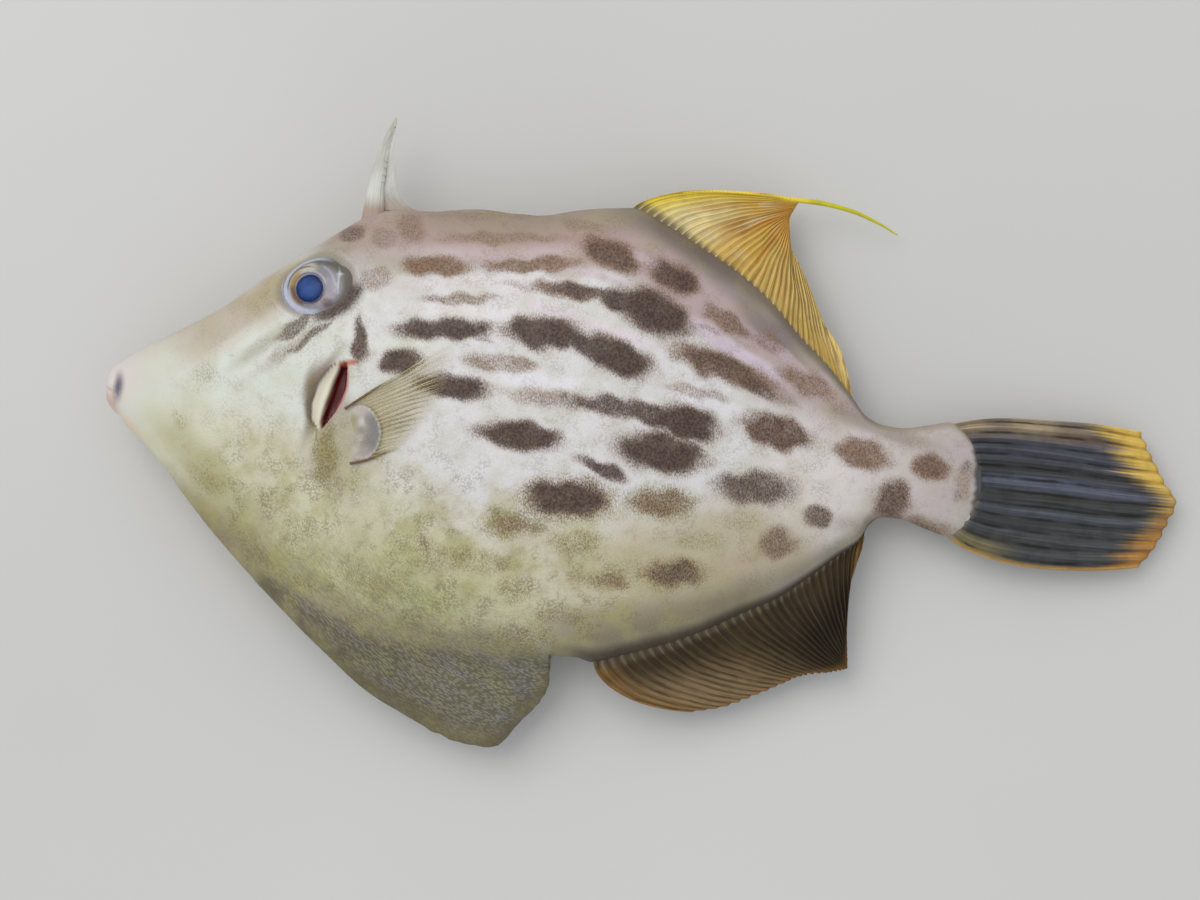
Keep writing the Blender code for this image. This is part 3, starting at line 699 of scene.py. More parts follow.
def new_material(name: str) -> tuple[bpy.types.Material, Board, bpy.types.Node]:
    """Start a node material.

    Args:
        name: Name of the finish.

    Returns:
        The material, a board on its tree, and its Principled node.
    """
    material = bpy.data.materials.new(name)
    material.use_nodes = True
    return material, Board(material.node_tree), material.node_tree.nodes["Principled BSDF"]


@dataclass(frozen=True)
class SkinFinish:
    """Velvet skin: ground colour from the mesh, three tones of mark, grain and a moist film."""

    dark: tuple = (74, 55, 48)
    warm: tuple = (126, 96, 74)
    olive: tuple = (140, 128, 82)
    mottle_tone: tuple = (168, 162, 100)
    granule: tuple = (158, 156, 150)
    groove: tuple = (64, 60, 42)
    streak: tuple = (128, 122, 126)
    blush: tuple = (168, 148, 136)
    dust: tuple = (150, 140, 112)
    fleck: tuple = (112, 94, 66)
    velvet_scale: float = 2600.0
    flap_scale: float = 4300.0
    stipple_scale: float = 4600.0
    dot_scale: float = 2300.0
    roughness: float = 0.5
    wet_gloss: float = 0.28
    shine: float = 0.42
    bump_depth: float = 0.00012

    def build(self, effects: Effects) -> bpy.types.Material:
        """Build the material.

        Args:
            effects: The shared groups.

        Returns:
            The material.
        """
        material, board, shader = new_material("velvet_skin")
        place = board.place()
        velvet = board.group(effects.grain, {"Place": place, "Scale": self.velvet_scale})
        rows = board.sheet()
        ribbed = board.group(effects.grain, {"Place": rows, "Scale": self.flap_scale})
        flap, grain = board.field("flap"), board.field("grain")
        colour = board.field("ground", True)
        rough_share = board.times(grain, grain)
        for scale, tone, amount in ((210.0, self.mottle_tone, board.field("mottle")),
                                    (95.0, self.blush, board.times(rough_share, 0.2)),
                                    (600.0, self.dust, board.times(rough_share, 0.22))):
            cloud = board.group(effects.mottle, {"Place": place, "Scale": scale, "Amount": amount})
            colour = board.mix(cloud.outputs[0], colour, paint(*tone))
        drawn = board.drawn_out(place, 90.0, 1.6)
        stipple = board.span(board.noise(drawn, self.stipple_scale, 1.0), 0.3, 0.7)
        dots = board.span(board.noise(place, self.dot_scale, 1.0), 0.4, 0.6)
        patchy = board.span(board.noise(place, 420.0, 3.0), 0.3, 0.6, 0.86, 1.0)
        # The dark marks' layer also carries the painted shade in the fold below and behind each eye.
        for name, tone, broken, spread in (("mark_olive", self.olive, 0.5, 0.24),
                                           ("mark_warm", self.warm, 0.34, 0.28),
                                           ("dark_mark_and_shade", self.dark, 0.24, 0.46)):
            opacity = board.times(board.field(name), patchy)
            mark = board.group(effects.speckle, {"Opacity": opacity, "Grain": stipple, "Break": broken})
            tinted = board.mix(dots, paint(*tone) * (1 + spread), paint(*tone) * (1 - 0.8 * spread))
            colour = board.mix(mark.outputs[0], colour, tinted)
        gathered = board.span(board.noise(place, 300.0, 2.0), 0.45, 0.66, 0.08, 0.44)
        fleck = board.times(board.times(velvet.outputs["Fleck"], grain), gathered)
        colour = board.mix(fleck, colour, paint(*self.fleck))
        streak = board.group(effects.mottle, {"Place": rows, "Scale": 520.0,
                                              "Amount": board.times(flap, 0.5)})
        colour = board.mix(streak.outputs[0], colour, paint(*self.streak))
        # Painted highlight on the tops of the flap's granules, and painted shade in the grooves between them.
        bead = board.times(board.span(ribbed.outputs["Height"], 0.72, 1.15), flap)
        colour = board.mix(board.times(bead, 0.3), colour, paint(*self.granule))
        groove = board.times(ribbed.outputs["Fleck"], flap)
        colour = board.mix(board.times(groove, 0.55), colour, paint(*self.groove))
        board.feed(shader.inputs["Base Color"], colour)
        wet = board.times(board.field("wet"), self.wet_gloss)
        rough = board.plus(board.less(self.roughness, wet), board.times(stipple, 0.05))
        board.feed(shader.inputs["Roughness"], rough)
        granules = {0: flap, 2: velvet.outputs["Height"], 3: ribbed.outputs["Height"]}
        height = board.add("ShaderNodeMix", granules).outputs[0]
        height = board.times(height, board.span(grain, 0.0, 0.6, 0.2, 1.0))
        board.feed(shader.inputs["Normal"], board.bump(height, 0.4, self.bump_depth))
        shader.inputs["Specular IOR Level"].default_value = self.shine
        return material


@dataclass(frozen=True)
class FinFinish:
    """Fin skin: slow colour from the mesh, ray lines, dark creases, joints and fine hairs."""

    name: str
    ray_tone: tuple
    crease_tone: tuple
    ray_share: float = 0.6
    crease_share: float = 0.6
    joints: float = 60.0
    ray_alpha: float = 0.0
    roughness: float = 0.4
    wander: float = 0.4
    crease_start: float = 0.24
    strands: float = 7.0
    hair_share: float = 0.4
    ray_gain: tuple = (1.5, 1.5, 1.5)
    hair_shade: tuple = (0.42, 0.36, 0.28)
    shine: float = 0.3
    bump_depth: float = 0.00012

    def build(self, effects: Effects) -> bpy.types.Material:
        """Build the material.

        Args:
            effects: The shared groups.

        Returns:
            The material.
        """
        material, board, shader = new_material(self.name)
        place = board.place()
        sheet = board.sheet()
        ray, crease, hair = board.group(
            effects.rays, {"Sheet": sheet, "Place": place, "Wander": self.wander,
                           "Crease start": self.crease_start, "Strands": self.strands}).outputs
        uneven = board.span(board.noise(place, 140.0, 2.0), 0.36, 0.62, 0.35, 1.0)
        crease = board.times(crease, board.times(uneven, board.field("deep")))
        outwards = board.add("ShaderNodeSeparateXYZ", {0: sheet}).outputs[1]
        wander = board.times(board.noise(place, 900.0, 1.0), 0.7)
        turn = board.plus(board.times(outwards, self.joints), wander)
        joint = board.span(board.math("PINGPONG", turn, 0.5), 0.0, 0.2, 1.0, 0.0)
        cloud = board.group(effects.mottle, {"Place": place, "Scale": 380.0, "Amount": self.hair_share * 0.8})
        ground = board.field("ground", True)
        shade = board.mix(1.0, ground, self.hair_shade, "MULTIPLY")
        colour = board.mix(cloud.outputs[0], ground, shade)
        dark = board.times(crease, self.crease_share)
        colour = board.mix(dark, colour, paint(*self.crease_tone))
        lifted = board.mix(1.0, ground, self.ray_gain, "MULTIPLY")
        bright = board.mix(0.5, paint(*self.ray_tone), lifted)
        colour = board.mix(board.times(ray, self.ray_share), colour, bright)
        for mask, amount in ((hair, self.hair_share), (board.times(joint, ray), 0.3)):
            colour = board.mix(board.times(mask, amount), colour, shade)
        board.feed(shader.inputs["Base Color"], colour)
        strip = board.math("MAXIMUM", ray, crease)
        fade = board.span(outwards, 0.45, 1.0, self.ray_alpha, 0.1 * self.ray_alpha)
        line = board.times(strip, fade)
        board.feed(shader.inputs["Alpha"], board.math("MAXIMUM", board.field("alpha"), line))
        rough = board.times(cloud.outputs[0], 0.4)
        board.feed(shader.inputs["Roughness"], board.plus(rough, self.roughness))
        height = board.less(board.plus(ray, board.times(hair, 0.7)), crease)
        board.feed(shader.inputs["Normal"], board.bump(height, 0.5, self.bump_depth))
        shader.inputs["Specular IOR Level"].default_value = self.shine
        return material


@dataclass(frozen=True)
class EyeFinish:
    """Finishes of the eye: painted ball, deep blue lens and see-through cornea."""

    ball_scale: float = 2600.0
    ball_dim: tuple = (0.55, 0.55, 0.60)
    ball_bump: float = 0.00006
    ball_roughness: float = 0.22
    lens_scale: float = 700.0
    lens_tone: tuple = (24, 34, 84)
    lens_roughness: float = 0.5
    ripple_scale: float = 420.0
    cornea_colour: tuple = (0.1, 0.12, 0.18, 1.0)
    cornea_alpha: float = 0.05
    cornea_bump: float = 0.0002
    cornea_roughness: float = 0.04

    def ball(self) -> bpy.types.Material:
        """The ball with its iris, a smooth wet surface with a fine unevenness.

        Returns:
            The material.
        """
        material, board, shader = new_material("eye_iris")
        thread = board.noise(board.place(), self.ball_scale, 3.0)
        colour = board.field("ground", True)
        dim = board.mix(1.0, colour, self.ball_dim, "MULTIPLY")
        share = board.times(board.span(thread, 0.35, 0.7), 0.35)
        board.feed(shader.inputs["Base Color"], board.mix(share, colour, dim))
        board.feed(shader.inputs["Normal"], board.bump(thread, 0.3, self.ball_bump))
        shader.inputs["Roughness"].default_value = self.ball_roughness
        return material

    def lens(self) -> bpy.types.Material:
        """The lens seen through the pupil, deep blue, matt and a little cloudy.

        Returns:
            The material.
        """
        material, board, shader = new_material("eye_lens")
        cloud = board.noise(board.place(), self.lens_scale, 3.0)
        share = board.span(cloud, 0.35, 0.8, 0.0, 0.5)
        colour = board.mix(share, board.field("ground", True), paint(*self.lens_tone))
        board.feed(shader.inputs["Base Color"], colour)
        shader.inputs["Roughness"].default_value = self.lens_roughness
        shader.inputs["Specular IOR Level"].default_value = 0.0
        return material

    def cornea(self) -> bpy.types.Material:
        """The film over the eye, nearly all see-through, with a faint waviness and a gloss.

        Returns:
            The material.
        """
        material, board, shader = new_material("eye_cornea")
        ripple = board.noise(board.place(), self.ripple_scale, 2.0)
        board.feed(shader.inputs["Normal"], board.bump(ripple, 0.25, self.cornea_bump))
        shader.inputs["Base Color"].default_value = self.cornea_colour
        shader.inputs["Roughness"].default_value = self.cornea_roughness
        shader.inputs["Alpha"].default_value = self.cornea_alpha
        return material


@dataclass
class BodyForm:
    """The body's shape: ribs from the lips to the tail base, each an oval on a line in plan.

    A rib gives back x, back y, belly x, belly y, half width, widest level, mid height and
    belly floor. Levels run from the back (0) to the belly edge (1).
    """

    ribs: tuple = (
        (-88.3, 11.4, -88.3, 3.0, 3.2, 0.50, 10.5, 1),
        (-86.4, 12.6, -86.6, 0.6, 4.0, 0.47, 10.6, 1),
        (-82.9, 14.6, -84.3, -1.6, 4.9, 0.43, 10.8, 1),
        (-77.2, 17.4, -80.5, -6.1, 5.9, 0.40, 11.0, 1),
        (-70.7, 20.8, -76.6, -11.4, 6.9, 0.37, 11.2, 1),
        (-62.9, 26.1, -72.7, -16.4, 8.0, 0.34, 11.4, 1),
        (-55.5, 30.6, -69.5, -20.1, 8.9, 0.32, 11.6, 1),
        (-49.9, 34.0, -67.1, -22.8, 9.6, 0.32, 11.8, 1),
        (-46.0, 36.1, -65.7, -24.3, 10.0, 0.33, 11.9, 1),
        (-41.5, 37.1, -64.7, -25.5, 9.9, 0.35, 12.1, 1),
        (-34.9, 36.9, -63.5, -26.8, 10.0, 0.37, 12.2, 1),
        (-31.9, 37.1, -54.5, -35.9, 10.1, 0.38, 12.3, 1),
        (-29.3, 37.2, -45.7, -44.4, 10.6, 0.40, 12.0, 0.93),
        (-26.6, 37.2, -36.0, -50.4, 11.4, 0.41, 11.3, 0.873),
        (-23.9, 36.9, -29.2, -53.0, 11.8, 0.41, 10.9, 0.845),
        (-21.9, 36.6, -25.1, -53.5, 11.9, 0.41, 10.8, 0.837),
        (-20.4, 36.5, -20.7, -49.4, 12.0, 0.41, 10.8, 0.876),
        (-19.0, 36.4, -17.2, -45.8, 12.0, 0.41, 10.8, 0.914),
        (-17.7, 36.3, -15.7, -42.7, 12.0, 0.41, 10.8, 0.943),
        (-16.3, 36.4, -15.5, -39.9, 12.0, 0.41, 10.8, 0.975),
        (-15.3, 36.5, -15.1, -37.8, 12.0, 0.41, 10.8, 1),
        (-11.1, 37.2, -11.4, -38.0, 11.9, 0.41, 10.8, 1),
        (-6.4, 37.6, -8.1, -38.9, 11.6, 0.41, 10.8, 1),
        (-1.7, 37.7, -3.3, -37.8, 11.1, 0.42, 10.7, 1),
        (4.4, 34.7, 3.1, -36.2, 10.3, 0.43, 10.5, 1),
        (10.2, 31.0, 9.8, -34.0, 9.3, 0.44, 10.2, 1),
        (16.1, 27.0, 16.6, -31.0, 8.2, 0.45, 9.8, 1),
        (21.7, 22.1, 22.6, -28.5, 7.1, 0.46, 9.4, 1),
        (26.8, 16.1, 27.9, -25.1, 6.1, 0.47, 9.0, 1),
        (31.6, 11.1, 33.0, -21.4, 5.2, 0.48, 8.7, 1),
        (35.7, 5.9, 36.8, -18.7, 4.6, 0.49, 8.4, 1),
        (38.1, 2.7, 38.8, -15.7, 4.2, 0.50, 8.2, 1),
        (41.2, 1.1, 40.9, -14.6, 3.9, 0.50, 8.0, 1),
        (44.8, 0.6, 44.0, -14.9, 3.6, 0.50, 7.8, 1),
        (48.8, 1.1, 47.9, -16.4, 3.3, 0.50, 7.6, 1),
        (52.5, 1.6, 52.2, -17.8, 2.7, 0.50, 7.4, 1),
        (55.1, -0.2, 54.8, -16.2, 2.1, 0.50, 7.3, 1),
        (56.7, -2.8, 56.5, -14.0, 1.6, 0.50, 7.2, 1),
        (57.4, -5.8, 57.4, -11.5, 1.1, 0.50, 7.2, 1),
    )
    section_power: float = 2.2
    back_round: float = 0.55
    belly_round: float = 0.66
    flap_half: float = 1.5
    flap_edge_half: float = 0.7
    flap_droop: float = 3.0
    flap_full_depth: float = 0.1
    eye_centre: tuple = (-54.05, 24.2)
    eye_radii: tuple = (7.35, 5.75, 3.9)
    eye_tilt: float = 20.0
    eye_sink: float = 2.3

    def __post_init__(self) -> None:
        """Work out the distance of each rib along the body."""
        self.table = np.array(self.ribs)
        back = np.linalg.norm(np.diff(self.table[:, 0:2], axis=0), axis=1)
        belly = np.linalg.norm(np.diff(self.table[:, 2:4], axis=0), axis=1)
        self.places = np.concatenate([[0], np.cumsum(0.5 * (back + belly))])

    def place(self, rib: np.ndarray) -> np.ndarray:
        """Turn a rib number, whole or not, into a distance along the body."""
        return np.interp(rib, np.arange(len(self.table)), self.places)

    def rib(self, at: np.ndarray) -> np.ndarray:
        """Turn a distance along the body into a rib number."""
        return np.interp(at, self.places, np.arange(len(self.places)))

    def section(self, at: np.ndarray, level: np.ndarray) -> tuple[np.ndarray, np.ndarray, np.ndarray]:
        """Read the body at distances along it and levels across it.

        The half width is an oval, (1 - reach^2.2)^power, joined by a cube root of cubes to
        the flap's blade, which thins and droops beyond the belly floor.

        Args:
            at: Distances along the body.
            level: Levels from the back to the belly edge.

        Returns:
            Plan points, mid heights and half widths.
        """
        at, level = np.broadcast_arrays(np.asarray(at, float), np.asarray(level, float))
        row = smooth(self.places, self.table, at)
        back, belly = row[..., 0:2], row[..., 2:4]
        width, widest, middle, floor = (row[..., k] for k in range(4, 8))
        widest = widest * floor
        plan = back + (belly - back) * level[..., None]
        reach = np.where(level < widest, (widest - level) / widest, (level - widest) / (floor - widest))
        flap = np.clip((1 - floor) / self.flap_full_depth, 0, 1)
        power = np.where(level < widest, self.back_round, self.belly_round)
        round_half = width * np.clip(1 - reach ** self.section_power, 0, 1) ** power
        beyond = np.clip((level - floor) / np.maximum(1 - floor, 1e-6), 0, 1)
        rounding = np.sqrt(np.clip(1 - beyond ** 12, 0, 1))
        blade = (self.flap_half + (self.flap_edge_half - self.flap_half) * beyond) * rounding * flap
        half = (round_half ** 3 + blade ** 3) ** (1 / 3)
        return plan, middle - self.flap_droop * flap * beyond ** 1.5, half

    def flank(self, at: np.ndarray, level: np.ndarray, side: np.ndarray) -> np.ndarray:
        """Points on the left (side 1) or right (side -1) flank, the right one pressed flat.

        Args:
            at: Distances along the body.
            level: Levels from the back to the belly edge.
            side: 1 or -1.

        Returns:
            Design points.
        """
        plan, middle, half = self.section(at, level)
        height = np.where(side > 0, middle + half, middle - np.minimum(half, middle))
        return np.concatenate([plan, height[..., None]], axis=-1)

    def height(self, x: np.ndarray, y: np.ndarray, side: int) -> np.ndarray:
        """Height of a flank over plan points, found on the rib line through each.

        Args:
            x: Design x.
            y: Design y.
            side: 1 or -1.

        Returns:
            Heights.
        """
        x, y = np.broadcast_arrays(np.asarray(x, float), np.asarray(y, float))
        steps = np.linspace(0, self.places[-1], 900)
        row = smooth(self.places, self.table, steps)
        run = row[:, 2:4] - row[:, 0:2]
        rel = np.stack([x.ravel(), y.ravel()], axis=1)[:, None, :] - row[None, :, 0:2]
        level = (rel * run).sum(-1) / (run * run).sum(-1)
        miss = np.abs(rel[..., 0] * run[:, 1] - rel[..., 1] * run[:, 0]) / np.linalg.norm(run, axis=1)
        best = np.argmin(miss + 100 * (np.clip(level, 0, 1) != level), axis=1)
        found = self.flank(steps[best], np.clip(level[np.arange(len(best)), best], 0, 1), side)
        return found[:, 2].reshape(x.shape)

    def eye_frame(self, side: int) -> tuple[np.ndarray, np.ndarray, np.ndarray, np.ndarray]:
        """Where an eye sits on its flank.

        Args:
            side: 1 or -1.

        Returns:
            The point on the flank, and unit directions along the eye's long axis, across it
            and outwards.
        """
        x, y = self.eye_centre
        here = np.array([x, y, float(self.height(x, y, side))])
        run = np.array([2.0, 0.0, float(self.height(x + 1, y, side) - self.height(x - 1, y, side))])
        rise = np.array([0.0, 2.0, float(self.height(x, y + 1, side) - self.height(x, y - 1, side))])
        out = unit(np.cross(run, rise) * side)
        run = unit(run)
        turn = math.radians(self.eye_tilt)
        long = run * math.cos(turn) + np.cross(out, run) * side * math.sin(turn)
        return here, long, np.cross(out, long) * side, out


@dataclass(frozen=True)
class Mark:
    """A spot of colour on the chart: an oval with a soft edge."""

    spot: tuple
    strength: float
    soft: float = 0.3

    def opacity(self, right: np.ndarray, down: np.ndarray, grow: float = 1.0) -> np.ndarray:
        """Opacity at chart places, full inside the oval and none well outside it."""
        far = oval(right, down, self.spot) / grow
        return self.strength * ease(1 + self.soft, 1 - self.soft, far)


@dataclass
class Skin:
    """One skin from the lips to the tail base, with the flap, sockets, slits and mouth in it."""

    form: BodyForm
    rings: int = 352
    left_levels: int = 184
    right_levels: int = 70
    dome_rings: int = 24
    tail_rings: int = 8
    snout_tip: tuple = (-89.87, 6.5)
    mouth_line: tuple = ((-90.4, 7.35), (-89.0, 6.9), (-87.4, 5.9))
    mouth_depth: float = 0.34
    socket_gap: float = 0.04
    rim_height: float = 0.25
    tuck: float = 0.92
    slit_front: tuple = ((360, 345), (366, 333), (375, 325), (385, 318), (395, 314), (405, 311), (415, 311),
                         (424, 314), (430, 320))
    slit_rear: tuple = ((360, 346.5), (368, 347), (385, 346), (398, 342), (410, 336), (421, 328), (430, 321))
    slit_depth: float = 2.6
    fold_depth: float = 0.55
    upper_lip: tuple = (1.2, 0.9)
    lower_lip: tuple = (-1.3, 1.1)
    slit_form_span: tuple = (358, 372, 422, 431)
    slit_paint_span: tuple = (358, 366, 426, 432)
    slit_clear_span: tuple = (352, 362, 428, 434)
    slit_foot: tuple = (349, 363, 11, 3.0, -8)
    eye_spot: tuple = (317, 286)
    belly_spot: tuple = (380, 560, 260, 90, 14)
    low_spot: tuple = (420, 650, 190, 60, 24)
    tail_seam: tuple = (971.0, 977.0)
    flap_ribs: tuple = (9, 11, 13, 14.5, 16, 18, 20)
    flap_starts: tuple = (0.98, 0.89, 0.805, 0.79, 0.835, 0.915, 0.99)
    pleat_height: float = 0.07
    pleat_gap: float = 2.3
    swell_height: float = 0.10
    swell_reach: float = 16.0
    ripple_height: float = 0.05
    ripple_reach: float = 5.0
    lip_height: float = 0.1
    nostril_depth: float = 0.45
    nostril_rim: float = 0.1
    slit_rim: float = 0.22
    scute_height: float = 0.34
    beads: int = 150
    bead_height: float = 0.16
    bead_span: tuple = (22.6, 23.2, 30.0, 30.6)
    softness: tuple = (0.36, 0.4, 0.62)
    halo_share: float = 0.75
    halo_growth: float = 1.22
    far_relief: float = 0.6
    ground_tone: tuple = (224, 220, 219)
    wash_drift: float = 0.13
    nostrils: tuple = ((-62.5, 24.7, 0.34), (-62.2, 23.1, 0.42))
    scutes: tuple = ((-35.0, -50.1, 1.9), (-31.9, -51.3, 2.1), (-29.2, -52.2, 2.2), (-26.6, -52.6, 1.9))
    dark_marks: tuple = (
        (612, 255, 30, 12, 25, 0.6), (675, 278, 25, 12, 25, 0.8), (735, 325, 26, 8, 35, 0.3),
        (585, 292, 42, 7, 7, 0.7), (625, 303, 30, 10, 16, 0.92), (654, 312, 37, 19, 24, 0.98),
        (697, 326, 24, 3, 14, 0.4), (443, 329, 44, 10, 0, 0.95), (478, 336, 16, 5, 20, 0.4),
        (546, 333, 38, 15, 6, 1.0), (616, 356, 36, 15, 22, 1.0), (582, 344, 22, 10, 34, 0.95),
        (722, 366, 40, 12, 20, 0.6), (752, 384, 30, 8, 30, 0.6), (400, 361, 19, 12, -4, 0.9),
        (452, 387, 36, 11, 6, 0.95), (608, 405, 46, 8, 8, 0.72), (648, 414, 30, 10, 12, 0.8),
        (684, 423, 34, 16, 14, 0.95), (661, 453, 42, 18, 10, 0.95), (776, 432, 36, 15, 16, 0.6),
        (862, 455, 22, 9, 16, 0.2), (930, 467, 16, 11, 30, 0.4), (519, 436, 40, 13, 6, 0.95),
        (601, 468, 26, 8, 24, 0.8), (567, 498, 38, 17, 4, 0.92), (660, 503, 26, 11, 0, 0.3),
        (755, 488, 38, 16, 4, 0.7), (818, 516, 13, 10, 10, 0.6), (777, 543, 16, 15, 0, 0.4),
        (672, 573, 26, 11, 0, 0.55), (892, 500, 17, 18, 10, 0.6), (360, 340, 7, 22, 2, 0.8),
        (296, 327, 24, 6, -32, 0.6), (310, 337, 28, 4, -40, 0.6), (276, 352, 12, 4, -38, 0.3),
        (352, 232, 13, 8, -20, 0.55), (384, 238, 12, 8, 0, 0.3), (424, 538, 6, 8, 0, 0.2),
        (524, 363, 16, 6, 5, 0.22), (925, 530, 20, 7, 12, 0.4), (966, 467, 6, 9, 0, 0.4),
        (958, 496, 6, 7, 0, 0.35), (785, 398, 14, 5, 20, 0.3),
    )
    warm_marks: tuple = (
        (410, 228, 15, 17, 0, 0.55), (500, 238, 66, 6, 0, 0.5), (585, 226, 24, 8, 10, 0.4),
        (612, 255, 34, 16, 25, 0.85), (675, 278, 29, 16, 25, 0.9), (727, 322, 28, 10, 35, 0.75),
        (770, 342, 17, 12, 25, 0.6), (808, 384, 32, 13, 25, 0.7), (845, 408, 16, 8, 25, 0.4),
        (437, 266, 36, 11, 0, 0.95), (530, 265, 50, 8, -3, 0.85), (378, 278, 18, 12, 0, 0.55),
        (458, 299, 38, 6, 0, 0.65), (500, 363, 43, 9, 5, 0.62), (725, 368, 58, 15, 22, 0.9),
        (697, 392, 34, 6, 10, 0.5), (595, 404, 92, 11, 7, 0.6), (776, 432, 39, 17, 16, 0.9),
        (862, 455, 30, 15, 16, 0.85), (930, 467, 20, 14, 30, 0.85), (755, 488, 40, 18, 4, 0.6),
        (818, 516, 15, 12, 10, 0.6), (777, 543, 19, 18, 0, 0.6), (660, 503, 30, 13, 0, 0.6),
        (672, 573, 30, 14, 0, 0.6), (892, 500, 20, 22, 10, 0.75), (925, 528, 26, 11, 14, 0.6),
        (965, 480, 8, 24, 0, 0.45), (480, 215, 80, 5, 0, 0.3), (690, 238, 40, 9, 30, 0.35),
        (514, 525, 19, 8, 4, 0.6), (612, 581, 20, 7, 6, 0.55), (425, 543, 7, 9, 0, 0.5),
        (462, 552, 11, 8, 0, 0.35), (560, 618, 26, 6, 0, 0.3), (390, 520, 9, 6, 0, 0.25),
        (345, 520, 8, 8, 0, 0.25), (572, 291, 42, 9, 8, 0.85), (443, 329, 48, 13, 0, 0.5),
        (400, 361, 22, 14, 0, 0.3), (340, 300, 14, 5, -50, 0.3), (300, 342, 40, 8, -38, 0.35),
        (520, 286, 24, 4, 10, 0.4),
    )
    olive_marks: tuple = (
        (510, 525, 30, 14, 0, 0.8), (575, 543, 30, 12, 0, 0.6), (605, 580, 32, 11, 0, 0.6),
        (567, 500, 50, 24, 2, 0.7), (660, 503, 36, 17, 0, 0.75), (672, 575, 36, 17, 0, 0.7),
        (525, 640, 22, 15, 0, 0.6), (326, 455, 13, 36, -6, 0.85), (313, 415, 6, 22, 10, 0.4),
        (300, 545, 30, 8, 40, 0.3), (270, 500, 20, 10, 30, 0.4), (300, 525, 26, 9, 30, 0.4),
        (205, 372, 12, 12, 0, 0.3), (180, 420, 9, 11, 0, 0.35), (235, 440, 12, 10, 0, 0.3),
        (460, 560, 60, 14, 4, 0.4), (385, 585, 60, 16, 20, 0.4), (740, 520, 30, 10, 0, 0.35),
        (515, 590, 24, 14, 0, 0.45), (245, 540, 34, 10, 48, 0.5), (205, 480, 24, 10, 48, 0.4),
        (422, 545, 16, 14, 0, 0.4), (560, 615, 40, 9, 0, 0.4), (700, 540, 30, 10, 0, 0.4),
    )
    washes: tuple = (
        ((240, 410, 130, 110, 0), (219, 221, 211), 0.9, 0.5),
        ((342, 436, 16, 32, 0), (160, 149, 132), 0.7, 0.7),
        ((215, 322, 120, 26, -27), (190, 176, 160), 0.95, 0.5),
        ((150, 380, 48, 44, -20), (212, 213, 200), 0.7, 0.6),
        ((112, 374, 24, 26, -20), (216, 204, 202), 0.8, 0.6),
        ((109, 402, 8, 12, 8), (208, 166, 154), 0.8, 0.6),
        ((119.5, 386, 3.4, 11, 6), (76, 58, 98), 0.95, 0.9),
        ((134, 434, 30, 7, 48), (226, 202, 176), 0.75, 0.6),
        ((272, 290, 40, 16, -32), (178, 164, 136), 0.9, 0.5),
        ((345, 240, 40, 14, -18), (156, 146, 126), 0.85, 0.6),
        ((385, 246, 50, 34, 0), (168, 154, 142), 0.8, 0.6),
        ((330, 560, 210, 88, 32), (205, 198, 160), 0.9, 0.5),
        ((420, 590, 130, 46, 12), (192, 192, 140), 0.75, 0.6),
        ((330, 500, 120, 40, 10), (208, 206, 176), 0.7, 0.6),
        ((190, 450, 60, 40, 50), (210, 208, 182), 0.7, 0.6),
        ((230, 500, 90, 20, 48), (172, 166, 120), 0.75, 0.6),
        ((560, 570, 120, 60, 0), (206, 198, 162), 0.75, 0.6),
        ((700, 552, 110, 46, -20), (186, 172, 138), 0.8, 0.6),
        ((760, 570, 70, 26, -28), (176, 158, 130), 0.7, 0.6),
        ((640, 625, 120, 26, -10), (166, 154, 120), 0.75, 0.5),
        ((335, 455, 22, 50, -8), (176, 164, 140), 0.6, 0.6),
        ((560, 232, 230, 34, 2), (174, 148, 140), 0.95, 0.45),
        ((700, 290, 110, 40, 38), (182, 158, 158), 0.9, 0.5),
        ((800, 368, 96, 40, 42), (182, 160, 158), 0.9, 0.5),
        ((930, 470, 80, 60, 0), (184, 170, 168), 0.9, 0.5),
        ((840, 480, 76, 52, 0), (222, 212, 208), 0.6, 0.6),
        ((900, 530, 60, 16, 6), (140, 120, 104), 0.7, 0.6),
        ((880, 428, 60, 8, 20), (140, 126, 116), 0.6, 0.6),
        ((712, 262, 50, 14, 40), (126, 112, 108), 0.7, 0.7),
        ((772, 330, 46, 12, 44), (92, 82, 86), 0.6, 0.7),
        ((492, 252, 95, 6, 0), (208, 188, 194), 0.6, 0.9),
        ((470, 283, 88, 7, 3), (230, 222, 224), 0.9, 0.4),
        ((590, 274, 40, 4, 16), (214, 194, 204), 0.8, 0.4),
        ((470, 311, 74, 6, 3), (232, 226, 226), 0.9, 0.4),
        ((592, 324, 76, 5, 20), (228, 214, 220), 0.9, 0.4),
        ((650, 262, 30, 4, 28), (212, 190, 202), 0.7, 0.4),
        ((728, 346, 66, 7, 33), (214, 196, 210), 0.9, 0.4),
        ((790, 360, 44, 5, 38), (206, 182, 194), 0.7, 0.4),
        ((540, 380, 90, 6, 4), (232, 228, 230), 0.8, 0.4),
        ((410, 345, 40, 5, 0), (224, 226, 212), 0.8, 0.4),
        ((700, 402, 60, 6, 16), (230, 224, 228), 0.8, 0.4),
        ((264, 345, 36, 6, -36), (150, 144, 114), 0.5, 0.9),
        ((284, 352, 30, 5, -36), (160, 150, 126), 0.4, 0.9),
        ((236, 340, 44, 4, -30), (214, 208, 192), 0.5, 0.6),
        ((313, 406, 8, 34, 10), (92, 76, 54), 0.85, 0.7),
        ((322, 373, 24, 5, -52), (118, 92, 70), 0.8, 0.8),
        ((428, 600, 34, 14, 20), (188, 198, 134), 0.6, 0.7),
        ((460, 648, 130, 22, 12), (132, 128, 88), 0.85, 0.5),
        ((350, 610, 70, 14, 38), (150, 142, 100), 0.7, 0.6),
    )

